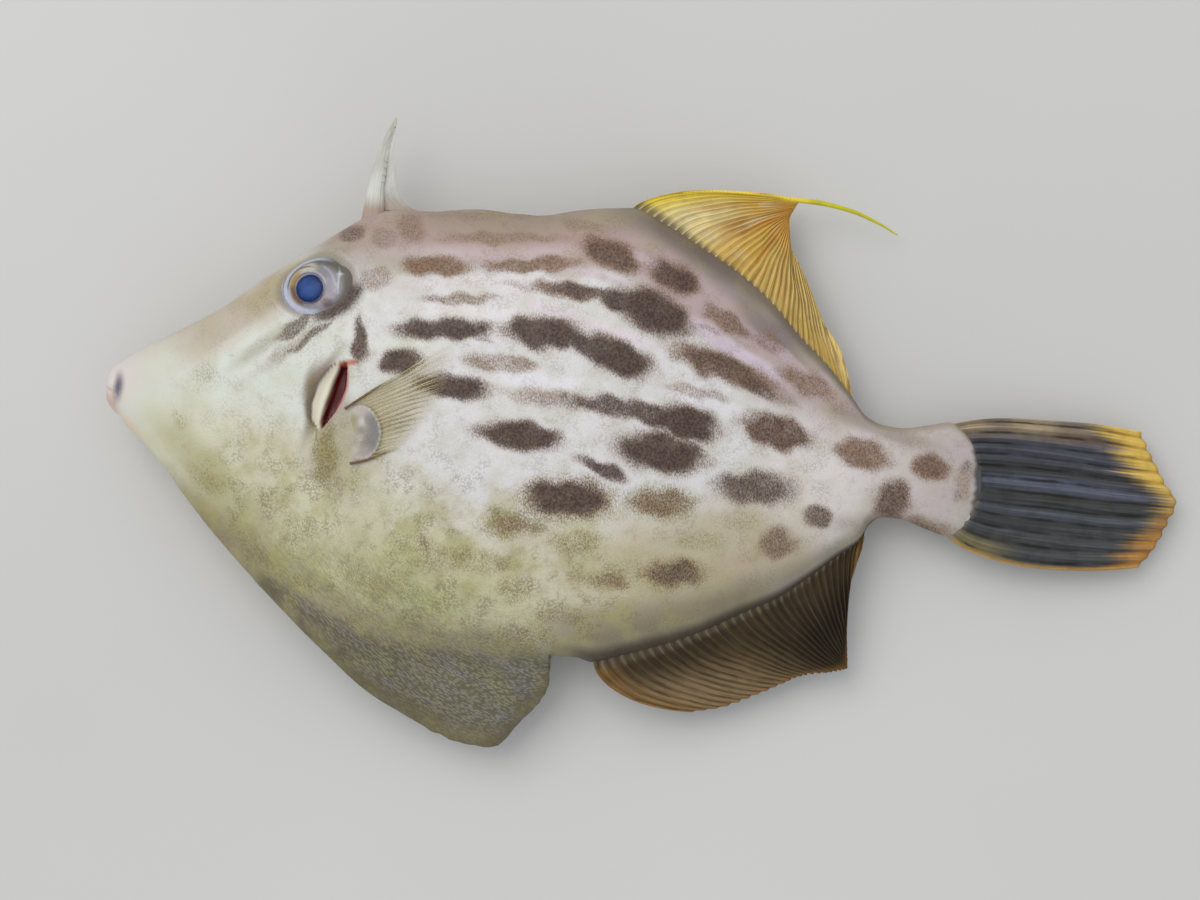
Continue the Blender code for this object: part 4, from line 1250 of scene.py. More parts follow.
    def stations(self) -> tuple[np.ndarray, np.ndarray, np.ndarray]:
        """Spread the rings and the levels, closer at the eye and at both edges.

        Returns:
            Distances along the body, levels round a ring, and the side of each level.
        """
        spread = np.linspace(0, self.form.places[-1], 4000)
        dense = 1 + 1.5 * hump(spread, float(self.form.place(7.4)), 13.0)
        total = np.concatenate([[0], np.cumsum((dense[1:] + dense[:-1]) / 2)])
        at = np.interp(np.linspace(0, total[-1], self.rings), total, spread)
        turn = np.linspace(0, math.pi, 2000)
        weight = np.cumsum(0.62 + np.sin(turn))
        parts = []
        for count in (self.left_levels, self.right_levels):
            shares = np.interp(np.linspace(weight[0], weight[-1], count), weight, turn)
            parts.append((1 - np.cos(shares)) / 2)
        left, right = parts
        level = np.concatenate([left, right[-2:0:-1]])
        side = np.concatenate([np.ones(len(left)), -np.ones(len(right) - 2)])
        return at, level, side

    def surface(self) -> tuple[np.ndarray, np.ndarray, np.ndarray, np.ndarray]:
        """Lay out the plain skin, with a domed snout and a domed tail end.

        A dome's ring is the end ring shrunk by the cosine of a turn and moved out by its sine.

        Returns:
            Ring points, distances along the body, levels and sides, all on one grid.
        """
        at, level, side = self.stations()
        body = self.form.flank(at[:, None], level[None, :], side[None, :])
        first, last = body[0], body[-1]
        turn = np.linspace(math.pi / 2, 0, self.dome_rings, endpoint=False)[:, None, None]
        middle = first.mean(0)
        middle[1] = self.snout_tip[1]
        snout = middle + (first - middle) * np.cos(turn)
        snout[..., 0] = first[:, 0] + (self.snout_tip[0] - first[:, 0]) * np.sin(turn[..., 0])
        turn = np.linspace(math.pi / 2, 0, self.tail_rings, endpoint=False)[::-1, None, None]
        tail = last.mean(0) + (last - last.mean(0)) * np.cos(turn)
        tail[..., 0] = last[:, 0] + 0.5 * np.sin(turn[..., 0])
        points = np.concatenate([snout, body, tail])
        places = np.concatenate([np.full(self.dome_rings, at[0]), at, np.full(self.tail_rings, at[-1])])
        grid = np.broadcast_to(places[:, None], points.shape[:2])
        return (points, grid, np.broadcast_to(level, grid.shape), np.broadcast_to(side, grid.shape))

    @staticmethod
    def outward(points: np.ndarray, side: np.ndarray) -> np.ndarray:
        """Unit normals of the grid, from the cross product of its two directions.

        Args:
            points: Ring points.
            side: Side of each point.

        Returns:
            Normals that point out of the body.
        """
        ahead = np.gradient(points, axis=0)
        round_way = np.roll(points, -1, axis=1) - np.roll(points, 1, axis=1)
        normal = unit(np.cross(ahead, round_way))
        flip = 1.0 if np.mean(normal[..., 2] * side) > 0 else -1.0
        return normal * flip

    def slit_share(self, right: np.ndarray, down: np.ndarray) -> tuple[np.ndarray, np.ndarray]:
        """Place across the gill slit, 0 on its front rim and 1 on its rear one.

        Args:
            right: Chart steps to the right.
            down: Chart steps down.

        Returns:
            The share across, and the width of the slit there.
        """
        height = np.clip(down, 360, 430)
        front, rear = key(self.slit_front, height), key(self.slit_rear, height)
        return (right - front) / np.maximum(rear - front, 1.2), np.maximum(rear - front, 0)

    def relief(self, points: np.ndarray, at: np.ndarray, level: np.ndarray, side: np.ndarray) -> np.ndarray:
        """Height that each point moves along its normal, in millimetres.

        It adds up the body's slow swells, mouth line, nostrils, gill slit with its rims, flap
        pleats, pelvis scutes and the beads along the fin bases.

        Args:
            points: Plain skin points.
            at: Distance along the body.
            level: Level of each point.
            side: Side of each point.

        Returns:
            Moves in millimetres.
        """
        x, y = points[..., 0], points[..., 1]
        right, down = chart(points)
        top = side > 0
        inner = window((0.0, 0.08, 0.94, 1.0), level)
        move = self.swell_height * waves(x, y, self.swell_reach, 3) * inner
        move = move + self.ripple_height * waves(x, y, self.ripple_reach, 4) * inner
        mouth = key(self.mouth_line, np.clip(x, -90.4, -87.4))
        move = move - self.mouth_depth * hump(y - mouth, 0, 0.24) * ease(-87.3, -88.3, x)
        lips = hump(y - mouth, *self.upper_lip) + 1.2 * hump(y - mouth, *self.lower_lip)
        move = move + self.lip_height * lips * ease(-87.0, -88.6, x)
        for nostril_x, nostril_y, radius in self.nostrils:
            away = np.hypot(x - nostril_x, y - nostril_y) / radius
            rim = self.nostril_rim * hump(away, 1.35, 0.3)
            move = move - self.nostril_depth * ease(1.1, 0.5, away) + rim
        share, width = self.slit_share(right, down)
        room = window(self.slit_form_span, down)
        fold = self.fold_depth * window((0.02, 0.3, 0.94, 1.0), share)
        pocket = (self.slit_depth - self.fold_depth) * window((0.42, 0.62, 0.93, 1.0), share)
        move = move - room * ease(1.0, 9.0, width) * (fold + pocket)
        move = move + self.slit_rim * room * (hump(share, -0.06, 0.1) + hump(share, 1.1, 0.12))
        flap = self.flap_share(at, level)
        run, across = self.rows(x, y)
        pleat = np.sin(2 * math.pi * (across + 0.5 * waves(run, across, 14.0, 6)) / self.pleat_gap)
        move = move + self.pleat_height * pleat * flap
        for scute_x, scute_y, reach in self.scutes:
            away = np.hypot((x - scute_x) / reach, (y - scute_y) / (0.75 * reach))
            move = move + self.scute_height * ease(1.1, 0.4, away)
        bead = 0.5 + 0.5 * np.cos(2 * math.pi * (at / self.form.places[-1]) * self.beads)
        base = window([float(self.form.place(rib)) for rib in self.bead_span], at)
        edges = hump(level, 0.012, 0.01) + hump(level, 0.985, 0.01)
        move = move + self.bead_height * bead * base * edges
        return np.where(top, move, move * self.far_relief)

    @staticmethod
    def rows(x: np.ndarray, y: np.ndarray) -> tuple[np.ndarray, np.ndarray]:
        """Places along and across the flap's rows of granules.

        Args:
            x: Design x.
            y: Design y.

        Returns:
            x, and the height over the row through the flap's front corner, whose slope
            eases from -0.78 to -0.2 along it.
        """
        ahead = np.clip(x + 42.0, -30.0, 26.0)
        return x, y + 0.78 * ahead - 0.0112 * ahead ** 2

    def flap_share(self, at: np.ndarray, level: np.ndarray) -> np.ndarray:
        """How much of the flap's coarse skin shows, from none to full.

        Args:
            at: Distance along the body.
            level: Level of each point.

        Returns:
            Shares from 0 to 1.
        """
        rib = self.form.rib(at)
        start = np.interp(rib, self.flap_ribs, self.flap_starts)
        return ease(0, 0.05, level - start) * ease(8.6, 10.2, rib) * ease(21.5, 19.5, rib)

    def socket(self, points: np.ndarray, side: int) -> tuple:
        """Places of points in an eye socket's ovoid: along, across, outwards and distance.

        Args:
            points: Design points.
            side: 1 or -1.

        Returns:
            The three offsets divided by the radii, and their length, 1 on the ovoid.
        """
        here, long, wide, out = self.form.eye_frame(side)
        rel = points - here + out * self.form.eye_sink
        offsets = [rel @ way / (radius + self.socket_gap)
                   for way, radius in zip((long, wide, out), self.form.eye_radii)]
        return *offsets, np.linalg.norm(offsets, axis=0)

    def eye_reach(self, points: np.ndarray) -> np.ndarray:
        """Distance of points from the nearer eye socket's middle, 1 on its ovoid."""
        return np.minimum(self.socket(points, 1)[-1], self.socket(points, -1)[-1])

    def eye_skin(self, points: np.ndarray, normal: np.ndarray, side: int, picked: np.ndarray) -> np.ndarray:
        """Turn the skin in at an eye, so that it lines the socket, and raise the rim round it.

        A point well inside the socket's ovoid keeps its turn about the eye, and its polar
        angle goes from where it is to the bottom as it nears the middle. Outside, the rim is
        a bell, and the wrinkles behind it are a cosine of the distance.

        Args:
            points: Skin points.
            normal: Their normals.
            side: 1 or -1.
            picked: Which points are on that side.

        Returns:
            The moved points.
        """
        here, long, wide, out = self.form.eye_frame(side)
        radii = np.array(self.form.eye_radii) + self.socket_gap
        u, v, w, away = self.socket(points, side)
        near = picked & (away < 2.2)
        behind = ease(-0.4, 0.7, u / np.maximum(away, 1e-6))
        bell = self.rim_height * hump(away, 1.1, 0.06)
        folds = np.cos(2 * math.pi * (away - 1.0) / 0.11) * ease(1.12, 1.2, away) * ease(1.75, 1.3, away)
        lower = ease(0.1, -0.8, v / np.maximum(away, 1e-6)) * ease(-0.1, 0.6, u / np.maximum(away, 1e-6))
        lift = bell * (1 + lower) + 0.085 * folds * behind - 0.3 * lower * hump(away, 1.3, 0.06)
        moved = points + normal * (lift * near * ease(0.98, 1.06, away))[..., None]
        centre = here - out * self.form.eye_sink
        lowest = (self.form.eye_sink / radii[2]) ** 2
        share = np.sqrt(np.clip((away ** 2 - lowest) / (self.tuck ** 2 - lowest), 0, 1))
        polar = np.arccos(np.clip(w / np.maximum(away, 1e-6), -1, 1))
        polar = polar + (1 - share) * (math.pi - polar)
        turn = np.arctan2(v, u)
        reach = self.tuck + (1 - self.tuck) * ease(1.0, 0.6, share)
        lined = ovoid(centre, (long, wide, out), [reach * radius for radius in radii], polar, turn)
        return np.where((near & (away < self.tuck))[..., None], lined, moved)

    def ground(self, points: np.ndarray, at: np.ndarray, level: np.ndarray) -> np.ndarray:
        """Paint the ground colour by washes laid over each other.

        Args:
            points: Plain skin points.
            at: Distance along the body.
            level: Level of each point.

        Returns:
            Linear colours.
        """
        right, down = chart(points)
        drift_right, drift_down = waves(right, down, 70, 11), waves(right, down, 70, 12)
        colour = paint(*self.ground_tone)
        for spot, tone, strength, soft in self.washes:
            drift = self.wash_drift * spot[3]
            place = right + drift * drift_right, down + drift * drift_down
            colour = layered(colour, (tone, Mark(spot, strength, soft).opacity(*place)))
        rib = self.form.rib(at)
        flap = self.flap_share(at, level)
        fin = window((18.4, 22.5, 30, 33), rib)
        end = right + 1.6 * waves(down, down * 0, 14.0, 61)
        share, width = self.slit_share(right, down)
        room = window(self.slit_paint_span, down) * ease(0.4, 3.0, width)
        return layered(
            colour,
            ((150, 136, 118), 0.75 * ease(0.09, 0.01, level) * ease(8, 11, rib)),
            ((104, 94, 88), 0.85 * ease(0.085, 0.02, level) * window((21.5, 24, 30, 33), rib)),
            ((132, 122, 80), 0.85 * ease(0.86, 0.965, level) * window((2.5, 5, 11.5, 14), rib)),
            ((112, 107, 80), 0.92 * flap),
            ((104, 105, 97), 0.7 * flap * ease(13.5, 17, rib)),
            ((100, 90, 56), 0.8 * ease(0.945, 0.975, level) * window((8, 10, 17.5, 19.5), rib)),
            # Painted shade along the anal fin's base: darker towards the belly edge, nearly black where the
            # skin meets the fin.
            ((116, 104, 82), 0.75 * ease(0.85, 0.95, level) * fin),
            ((54, 42, 30), 0.92 * ease(0.955, 0.985, level) * fin),
            ((140, 130, 112), 0.7 * ease(1.12, 1.0, self.eye_reach(points))),
            ((80, 79, 82), ease(*self.tail_seam, end) * ease(33, 35, rib)),
            ((86, 64, 50), room * 0.9 * hump(share, -0.1, 0.16)),
            ((230, 224, 200), room * window((0.02, 0.1, 0.5, 0.7), share)),
            ((92, 12, 14), room * window((0.42, 0.54, 1.0, 1.06), share)),
            ((176, 92, 78), room * 0.8 * hump(share, 1.05, 0.07)),
            ((190, 92, 70), 0.9 * ease(1.3, 0.6, oval(right, down, self.slit_foot))))

    def painted_shade_shares(self, points: np.ndarray, at: np.ndarray, level: np.ndarray) -> tuple[np.ndarray, np.ndarray]:
        """Painted shade that follows the form: in the fold behind and below an eye, and along the anal fin's
        base.

        Args:
            points: Plain skin points.
            at: Distance along the body.
            level: Level of each point.

        Returns:
            Shares of the painted shade in the fold and along the fin's base.
        """
        right, down = chart(points)
        facing = np.degrees(np.arctan2(self.eye_spot[1] - down, right - self.eye_spot[0]))
        fold = ease(1.3, 1.1, self.eye_reach(points)) * window((-116, -76, -8, 18), facing)
        rib = self.form.rib(at)
        base = ease(0.95, 0.985, level) * window((18.6, 22.5, 30, 33), rib)
        return fold, base

    @staticmethod
    def marked(marks: tuple, right: np.ndarray, down: np.ndarray, grow: float = 1.0,
               soft: float = 0.36) -> np.ndarray:
        """The strongest opacity of a table of marks at chart places.

        Args:
            marks: Centre, half length, half width, tilt and strength of each mark.
            right: Chart steps to the right.
            down: Chart steps down.
            grow: How many times larger each mark is drawn.
            soft: Softness of the edges.

        Returns:
            Opacities from 0 to 1.
        """
        total = np.zeros(right.shape)
        for *spot, strength in marks:
            total = np.maximum(total, Mark(tuple(spot), strength, soft).opacity(right, down, grow))
        return total

    def build(self, material: bpy.types.Material) -> bpy.types.Object:
        """Make the skin.

        Args:
            material: The skin finish.

        Returns:
            The object.
        """
        plain, at, level, side = self.surface()
        normal = self.outward(plain, side)
        points = plain + normal * self.relief(plain, at, level, side)[..., None]
        for flank in Side:
            points = self.eye_skin(points, normal, flank.value, side == flank.value)
        points[..., 2] = np.maximum(points[..., 2], 0.0)
        right, down = chart(plain)
        warped = right + 2.4 * waves(right, down, 32, 21), down + 1.9 * waves(right, down, 28, 22)
        slit, width = self.slit_share(right, down)
        pocket = window((-0.12, 0.0, 1.04, 1.12), slit) * ease(0.4, 3, width)
        pocket = pocket * window(self.slit_clear_span, down)
        fields = {}
        for name, marks, soft in zip(("dark_mark_and_shade", "mark_warm", "mark_olive"),
                                     (self.dark_marks, self.warm_marks, self.olive_marks), self.softness):
            fields[name] = self.marked(marks, *warped, soft=soft) * (1 - pocket)
        halo = self.marked(self.dark_marks, *warped, self.halo_growth)
        halo = self.halo_share * halo * (1 - pocket)
        fields["mark_warm"] = np.maximum(fields["mark_warm"], halo)
        # Painted shade: the fold below and behind the eye joins the dark marks, and the anal fin's base,
        # painted dark in the ground, is kept clear of mottle and grain.
        fold, base = self.painted_shade_shares(plain, at, level)
        fields["dark_mark_and_shade"] = np.maximum(fields["dark_mark_and_shade"], 0.9 * fold)
        fields["ground"] = self.ground(plain, at, level)
        belly = ease(1.5, 0.6, oval(right, down, self.belly_spot))
        bare = (1 - pocket) * (1 - 0.85 * base)
        fields["mottle"] = (0.2 + 0.42 * belly) * bare * ease(110, 210, right)
        fields["grain"] = ease(120, 260, right) * (0.5 + 0.5 * belly) * bare
        low = ease(1.6, 0.7, oval(right, down, self.low_spot))
        coarse = np.maximum(self.flap_share(at, level), 0.4 * low)
        fields["flap"] = coarse * (1 - 0.6 * ease(0.95, 0.985, level))
        fields["wet"] = np.maximum(pocket, 0.6 * ease(130, 112, right))
        run, across = self.rows(plain[..., 0], plain[..., 1])
        fields["sheet"] = np.stack([run / 3.0, across * 0.85], axis=-1) * MM
        flat = {name: capped(values.reshape(-1, *values.shape[2:])) for name, values in fields.items()}
        sheet = flat.pop("sheet")
        solid, faces = closed_tube(points)
        piece = Piece("skin", "skin", ("head", "trunk", "caudal_peduncle", "pelvic_flap", "upper_lip",
                                       "lower_lip"))
        return make_piece(piece, solid, faces, material, flat, sheet)


@dataclass
class Eye:
    """One eye: ball with its iris, lens in the pupil and clear cornea."""

    form: BodyForm
    side: Side
    inset: float = 0.13
    iris_rise: float = 3.2
    pupil_spot: tuple = (309.5, 288.0)
    pupil_radius: float = 2.3
    lens_spot: tuple = (309, 288)
    lens_rim: tuple = (22, 34, 78)
    lens_middle: tuple = (62, 92, 152)
    rim_spot: tuple = (317, 286, 36, 29, -20)
    iris_tone: tuple = (152, 146, 150)
    glints: tuple = ((340, 274, 3.4, 1.3, 0), (340, 274, 1.3, 3.4, 0), (338.5, 281, 0.9, 12, 4))
    lens_rise: float = 0.34
    cornea_thickness: float = 0.1

    def rings(self, radii: tuple, polar: np.ndarray, turns: int) -> np.ndarray:
        """Rings of an ovoid about the eye's middle.

        Args:
            radii: Radii along, across and out.
            polar: Polar angles from outwards.
            turns: Points in a ring.

        Returns:
            Ring points.
        """
        here, long, wide, out = self.form.eye_frame(self.side.value)
        turn = full_turn(turns)[None, :]
        return ovoid(here - out * self.form.eye_sink, (long, wide, out), radii, polar[:, None], turn)

    def iris_colour(self, right: np.ndarray, down: np.ndarray) -> np.ndarray:
        """Paint the eye's zones on the chart, round the pupil and inside the rim, with a few painted
        reflections.

        Args:
            right: Chart steps to the right.
            down: Chart steps down.

        Returns:
            Linear colours.
        """
        x, y = right - self.pupil_spot[0], down - self.pupil_spot[1]
        away = np.hypot(x, y)
        facing = np.degrees(np.arctan2(-y, x)) % 360
        rim = oval(right, down, self.rim_spot)

        def toward(middle: float, reach: float) -> np.ndarray:
            """1 towards a heading about the pupil, falling to 0 at the reach on both sides."""
            off = np.abs((facing - middle + 180) % 360 - 180)
            return ease(reach, 0.6 * reach, off)

        return layered(
            paint(*self.iris_tone),
            ((96, 90, 62), 0.9 * toward(38, 52) * ease(0.58, 0.8, rim)),
            ((116, 106, 92), 0.85 * toward(-4, 44) * ease(0.7, 0.88, rim)),
            ((178, 164, 172), 0.6 * toward(-20, 50) * hump(rim, 0.5, 0.12)),
            ((226, 218, 190), 0.9 * toward(122, 62) * hump(away, 21, 4)),
            ((180, 142, 66), toward(178, 74) * hump(away, 17.2, 3.6)),
            ((102, 70, 32), 0.85 * toward(212, 48) * hump(away, 16.6, 3.0)),
            ((72, 62, 50), 0.9 * toward(160, 100) * hump(away, 21.4, 0.9)),
            ((192, 194, 208), 0.9 * toward(120, 80) * ease(0.80, 0.9, rim)),
            ((208, 209, 228), 0.95 * toward(232, 72) * ease(0.72, 0.84, rim)),
            ((88, 88, 84), 0.7 * toward(120, 90) * hump(rim, 0.83, 0.02)),
            ((112, 80, 72), 0.8 * ease(1.4, 0.5, oval(right, down, (327, 303, 6, 5, 20)))),
            ((88, 88, 110), 0.6 * hump(away, 15.2, 0.9)),
            ((214, 214, 222), 0.5 * toward(70, 70) * hump(away, 17.2, 0.8)),
            # Painted reflections: a pale arc round the pupil, and the glint lines.
            ((206, 208, 212), 0.45 * toward(26, 44) * hump(away, 26, 1.2)),
            *(((226, 230, 236), 0.55 * ease(1.6, 0.3, oval(right, down, line))) for line in self.glints),
            ((92, 90, 88), 0.7 * toward(150, 110) * hump(rim, 0.965, 0.02)),
            ((132, 124, 110), ease(1.02, 1.08, rim)))

    def build(self, finish: EyeFinish) -> list[bpy.types.Object]:
        """Make the ball, lens and cornea.

        Args:
            finish: The eye's finishes.

        Returns:
            The objects.
        """
        name = self.side.name.lower()
        along_radius, across_radius, depth = (radius - self.inset for radius in self.form.eye_radii)
        polar = np.linspace(0.02, math.pi - 0.02, 130)
        rings = self.rings((along_radius, across_radius, depth), polar, 160)
        _, _, _, out = self.form.eye_frame(self.side.value)
        above = ease(0.45, 0.9, np.cos(polar))[:, None, None]
        rings = rings - out * above * (depth - self.iris_rise)
        points, faces = closed_tube(rings)
        right, down = chart(points)
        ball = make_piece(Piece(f"eye_ball_{name}", "eye", (f"eye_{name}",)), points, faces, finish.ball(),
                          {"ground": self.iris_colour(right, down)})
        return [ball, self.build_lens(finish, rings), self.build_cornea(finish)]

    def build_lens(self, finish: EyeFinish, rings: np.ndarray) -> bpy.types.Object:
        """Make the lens as a low ovoid on the ball at the pupil.

        Args:
            finish: The eye's finishes.
            rings: Points of the ball.

        Returns:
            The object.
        """
        name = self.side.name.lower()
        out = self.form.eye_frame(self.side.value)[3]
        flat = rings[:60].reshape(-1, 3)
        right, down = chart(flat)
        middle = flat[np.argmin(np.hypot(right - self.pupil_spot[0], down - self.pupil_spot[1]))]
        polar = np.linspace(0.03, math.pi - 0.03, 40)[:, None]
        turn = full_turn(72)[None, :]
        across, upward = np.array([1.0, 0.0, -out[0] / out[2]]), np.array([0.0, 1.0, -out[1] / out[2]])
        radii = self.pupil_radius, self.pupil_radius, self.lens_rise
        points, faces = closed_tube(ovoid(middle, (across, upward, out), radii, polar, turn))
        right, down = chart(points)
        shade = ease(15.5, 5, np.hypot(right - self.lens_spot[0], down - self.lens_spot[1]))
        colour = layered(paint(*self.lens_rim), (self.lens_middle, shade))
        return make_piece(Piece(f"eye_lens_{name}", "eye"), points, faces, finish.lens(), {"ground": colour})

    def build_cornea(self, finish: EyeFinish) -> bpy.types.Object:
        """Make the cornea as a thin dome with an inner and an outer face.

        Args:
            finish: The eye's finishes.

        Returns:
            The object.
        """
        name = self.side.name.lower()
        radii = np.array(self.form.eye_radii) - 0.01
        outer = self.rings(tuple(radii), np.linspace(0.02, 1.35, 60), 120)
        inner = self.rings(tuple(radii - self.cornea_thickness), np.linspace(1.35, 0.02, 60), 120)
        points, faces = closed_tube(np.concatenate([outer, inner]))
        return make_piece(Piece(f"eye_cornea_{name}", "eye"), points, faces, finish.cornea(), {})


@dataclass
class RayFin:
    """A fin of rays between a root line and a margin, each ray a bowed line that forks."""

    form: BodyForm
    piece: Piece
    rays: int
    seed: int
    columns_per_ray: int = 10
    rows: int = 100
    half: float = 0.12
    ridge: float = 0.15
    swell: float = 0.35
    pleat: float = 0.18
    scallop: float = 0.35
    stray: float = 0.16
    fork: float = 0.22
    branch_width: float = 0.19
    branch_taper: float = 0.07
    depth: tuple = (1.0, 1.0)
    clean_rim: float = 0.0

    def shares(self) -> np.ndarray:
        """Shares of the columns from the first ray to the last."""
        return np.linspace(0, 1, self.rays * self.columns_per_ray + 1)

    def ray_mask(self, share: np.ndarray, step: np.ndarray) -> np.ndarray:
        """How much a point is on a ray: a bell about each of a ray's two branches.

        Args:
            share: Share of each column.
            step: Share from root to margin.

        Returns:
            Values from 0 to 1.
        """
        phase = share * self.rays - np.round(share * self.rays)
        fork = self.fork * ease(0.2, 1.0, step)
        width = self.branch_width - self.branch_taper * ease(0.2, 1.0, step)
        return np.maximum(hump(phase, fork, width), hump(phase, -fork, width))

    def heights(self, plan: np.ndarray, step: np.ndarray, root: np.ndarray, tip: np.ndarray) -> np.ndarray:
        """Middle heights: from the root to the tip by step^1.4."""
        return root + (tip - root) * step ** 1.4

    def faces(self) -> tuple[np.ndarray, np.ndarray, np.ndarray, np.ndarray, np.ndarray]:
        """Work out the fin's two faces.

        A ray's plan is root + run x s + side x bow x s^0.6 x (1 - s), with a slight wander.
        The half thickness is the web's, plus the ridge on a ray, plus a swelling at the
        root, and the mid surface is pleated so that webs lie lower.

        Returns:
            Upper face, lower face, ray mask, shares and steps.
        """
        share = self.shares()
        count = share * self.rays
        step = np.linspace(0, 1, self.rows)[:, None]
        root, root_height, tips, bow, tip_height = self.outline(share)
        ragged = np.random.default_rng(self.seed).uniform(0.2, 1.4, self.rays + 1)
        pull = np.interp(count, np.arange(self.rays + 1), ragged) * self.scallop
        pull = pull * (0.5 - 0.5 * np.cos(2 * math.pi * count))
        run = tips - root
        length = np.linalg.norm(run, axis=1)
        run = run * (1 - np.minimum(pull / np.maximum(length, 1e-6), 0.2))[:, None]
        side = unit(square(run))
        bend = (bow[:, None] * step[..., None] ** 0.6) * (1 - step[..., None])
        plan = root + run * step[..., None] + side * bend
        spread = np.linalg.norm(np.gradient(plan, axis=1), axis=2) * self.columns_per_ray
        room = np.clip(spread / 0.8, 0.08, 1)
        stray = self.stray * waves(count * 0.6, step * 5, 3.2, self.seed + 1) * room
        stray = stray * np.sin(math.pi * step)
        plan = plan + side * stray[..., None]
        mask = self.ray_mask(share[None, :], step)
        fall = self.pleat * (0.5 - 0.5 * np.cos(2 * math.pi * count)) * ease(0, 0.06, step) * room
        slow = 0.2 * waves(count, step * 6, 9.0, self.seed) * ease(0.1, 0.7, step)
        middle = self.heights(plan, step, root_height, tip_height) - fall * (1 - 0.35 * step) + slow
        half = self.half + self.ridge * mask * (1 - 0.6 * step) * room + self.swell * (1 - step) ** 6
        half = half * (1 - 0.55 * ease(0.94, 1.0, step))
        upper = np.concatenate([plan, (middle + half)[..., None]], axis=2)
        lower = np.concatenate([plan, (middle - half)[..., None]], axis=2)
        return upper, lower, mask, *np.broadcast_arrays(share[None, :], step)

    def build(self, material: bpy.types.Material) -> bpy.types.Object:
        """Close the fin, paint it and carry its fields over to both faces.

        Args:
            material: The fin's finish.

        Returns:
            The object.
        """
        upper, lower, mask, share, step = self.faces()
        points, faces = closed_plate(upper, lower)
        points[:, 2] = np.maximum(points[:, 2], 0.05)
        colour, alpha = self.colours(mask, share, step)
        sheet = np.stack([share.ravel() * self.rays, step.ravel()], 1)
        deep = self.depth[0] + (self.depth[1] - self.depth[0]) * ease(0.3, 0.6, share)
        deep = deep * (1 - self.clean_rim * ease(0.8, 0.97, step))
        fields = {"alpha": alpha.ravel(), "ground": colour.reshape(-1, 3), "deep": deep.ravel()}
        fields = {name: np.concatenate([values, values]) for name, values in fields.items()}
        return make_piece(self.piece, points, faces, material, fields, np.concatenate([sheet, sheet]))

    def stitched(self, colour: np.ndarray, mask: np.ndarray, step: np.ndarray) -> np.ndarray:
        """Show pale ray feet on a strip of painted shade along the root, where the fin meets the body.

        Args:
            colour: Colours so far.
            mask: Ray mask.
            step: Share from root to margin.

        Returns:
            The colours.
        """
        return layered(
            colour,
            # Painted shade along the fin's root.
            ((100, 88, 70), 0.8 * ease(0.09, 0.02, step)),
            ((222, 210, 180), 0.65 * mask ** 2 * ease(0.09, 0.05, step)))


@dataclass
class EdgeFin(RayFin):
    """A fin of rays that stands on the back (level 0) or on the belly edge (level 1)."""

    ribs: tuple = ()
    margin: tuple = ()
    tip_shares: tuple = ()
    bow: tuple = ()
    tip_height: tuple = ()
    level: float = 0.0
    outward: int = 1
    root_gap: float = -0.5

    def outline(self, share: np.ndarray) -> tuple:
        """Root and margin at shares of the fin: points, heights and bows.

        The root follows the body's edge, moved by the gap, and the margin is read at the tip shares.

        Args:
            share: Shares of the columns.

        Returns:
            Root points, root heights, margin points, bows and margin heights.
        """
        first, last = self.form.place(self.ribs[0]), self.form.place(self.ribs[1])
        plan, middle, _ = self.form.section(first + (last - first) * share, self.level)
        ahead = unit(np.gradient(plan, axis=0))
        root = plan + square(ahead) * self.outward * self.root_gap
        tips = along(self.margin, key(self.tip_shares, share))
        return root, middle, tips, key(self.bow, share), key(self.tip_height, share)


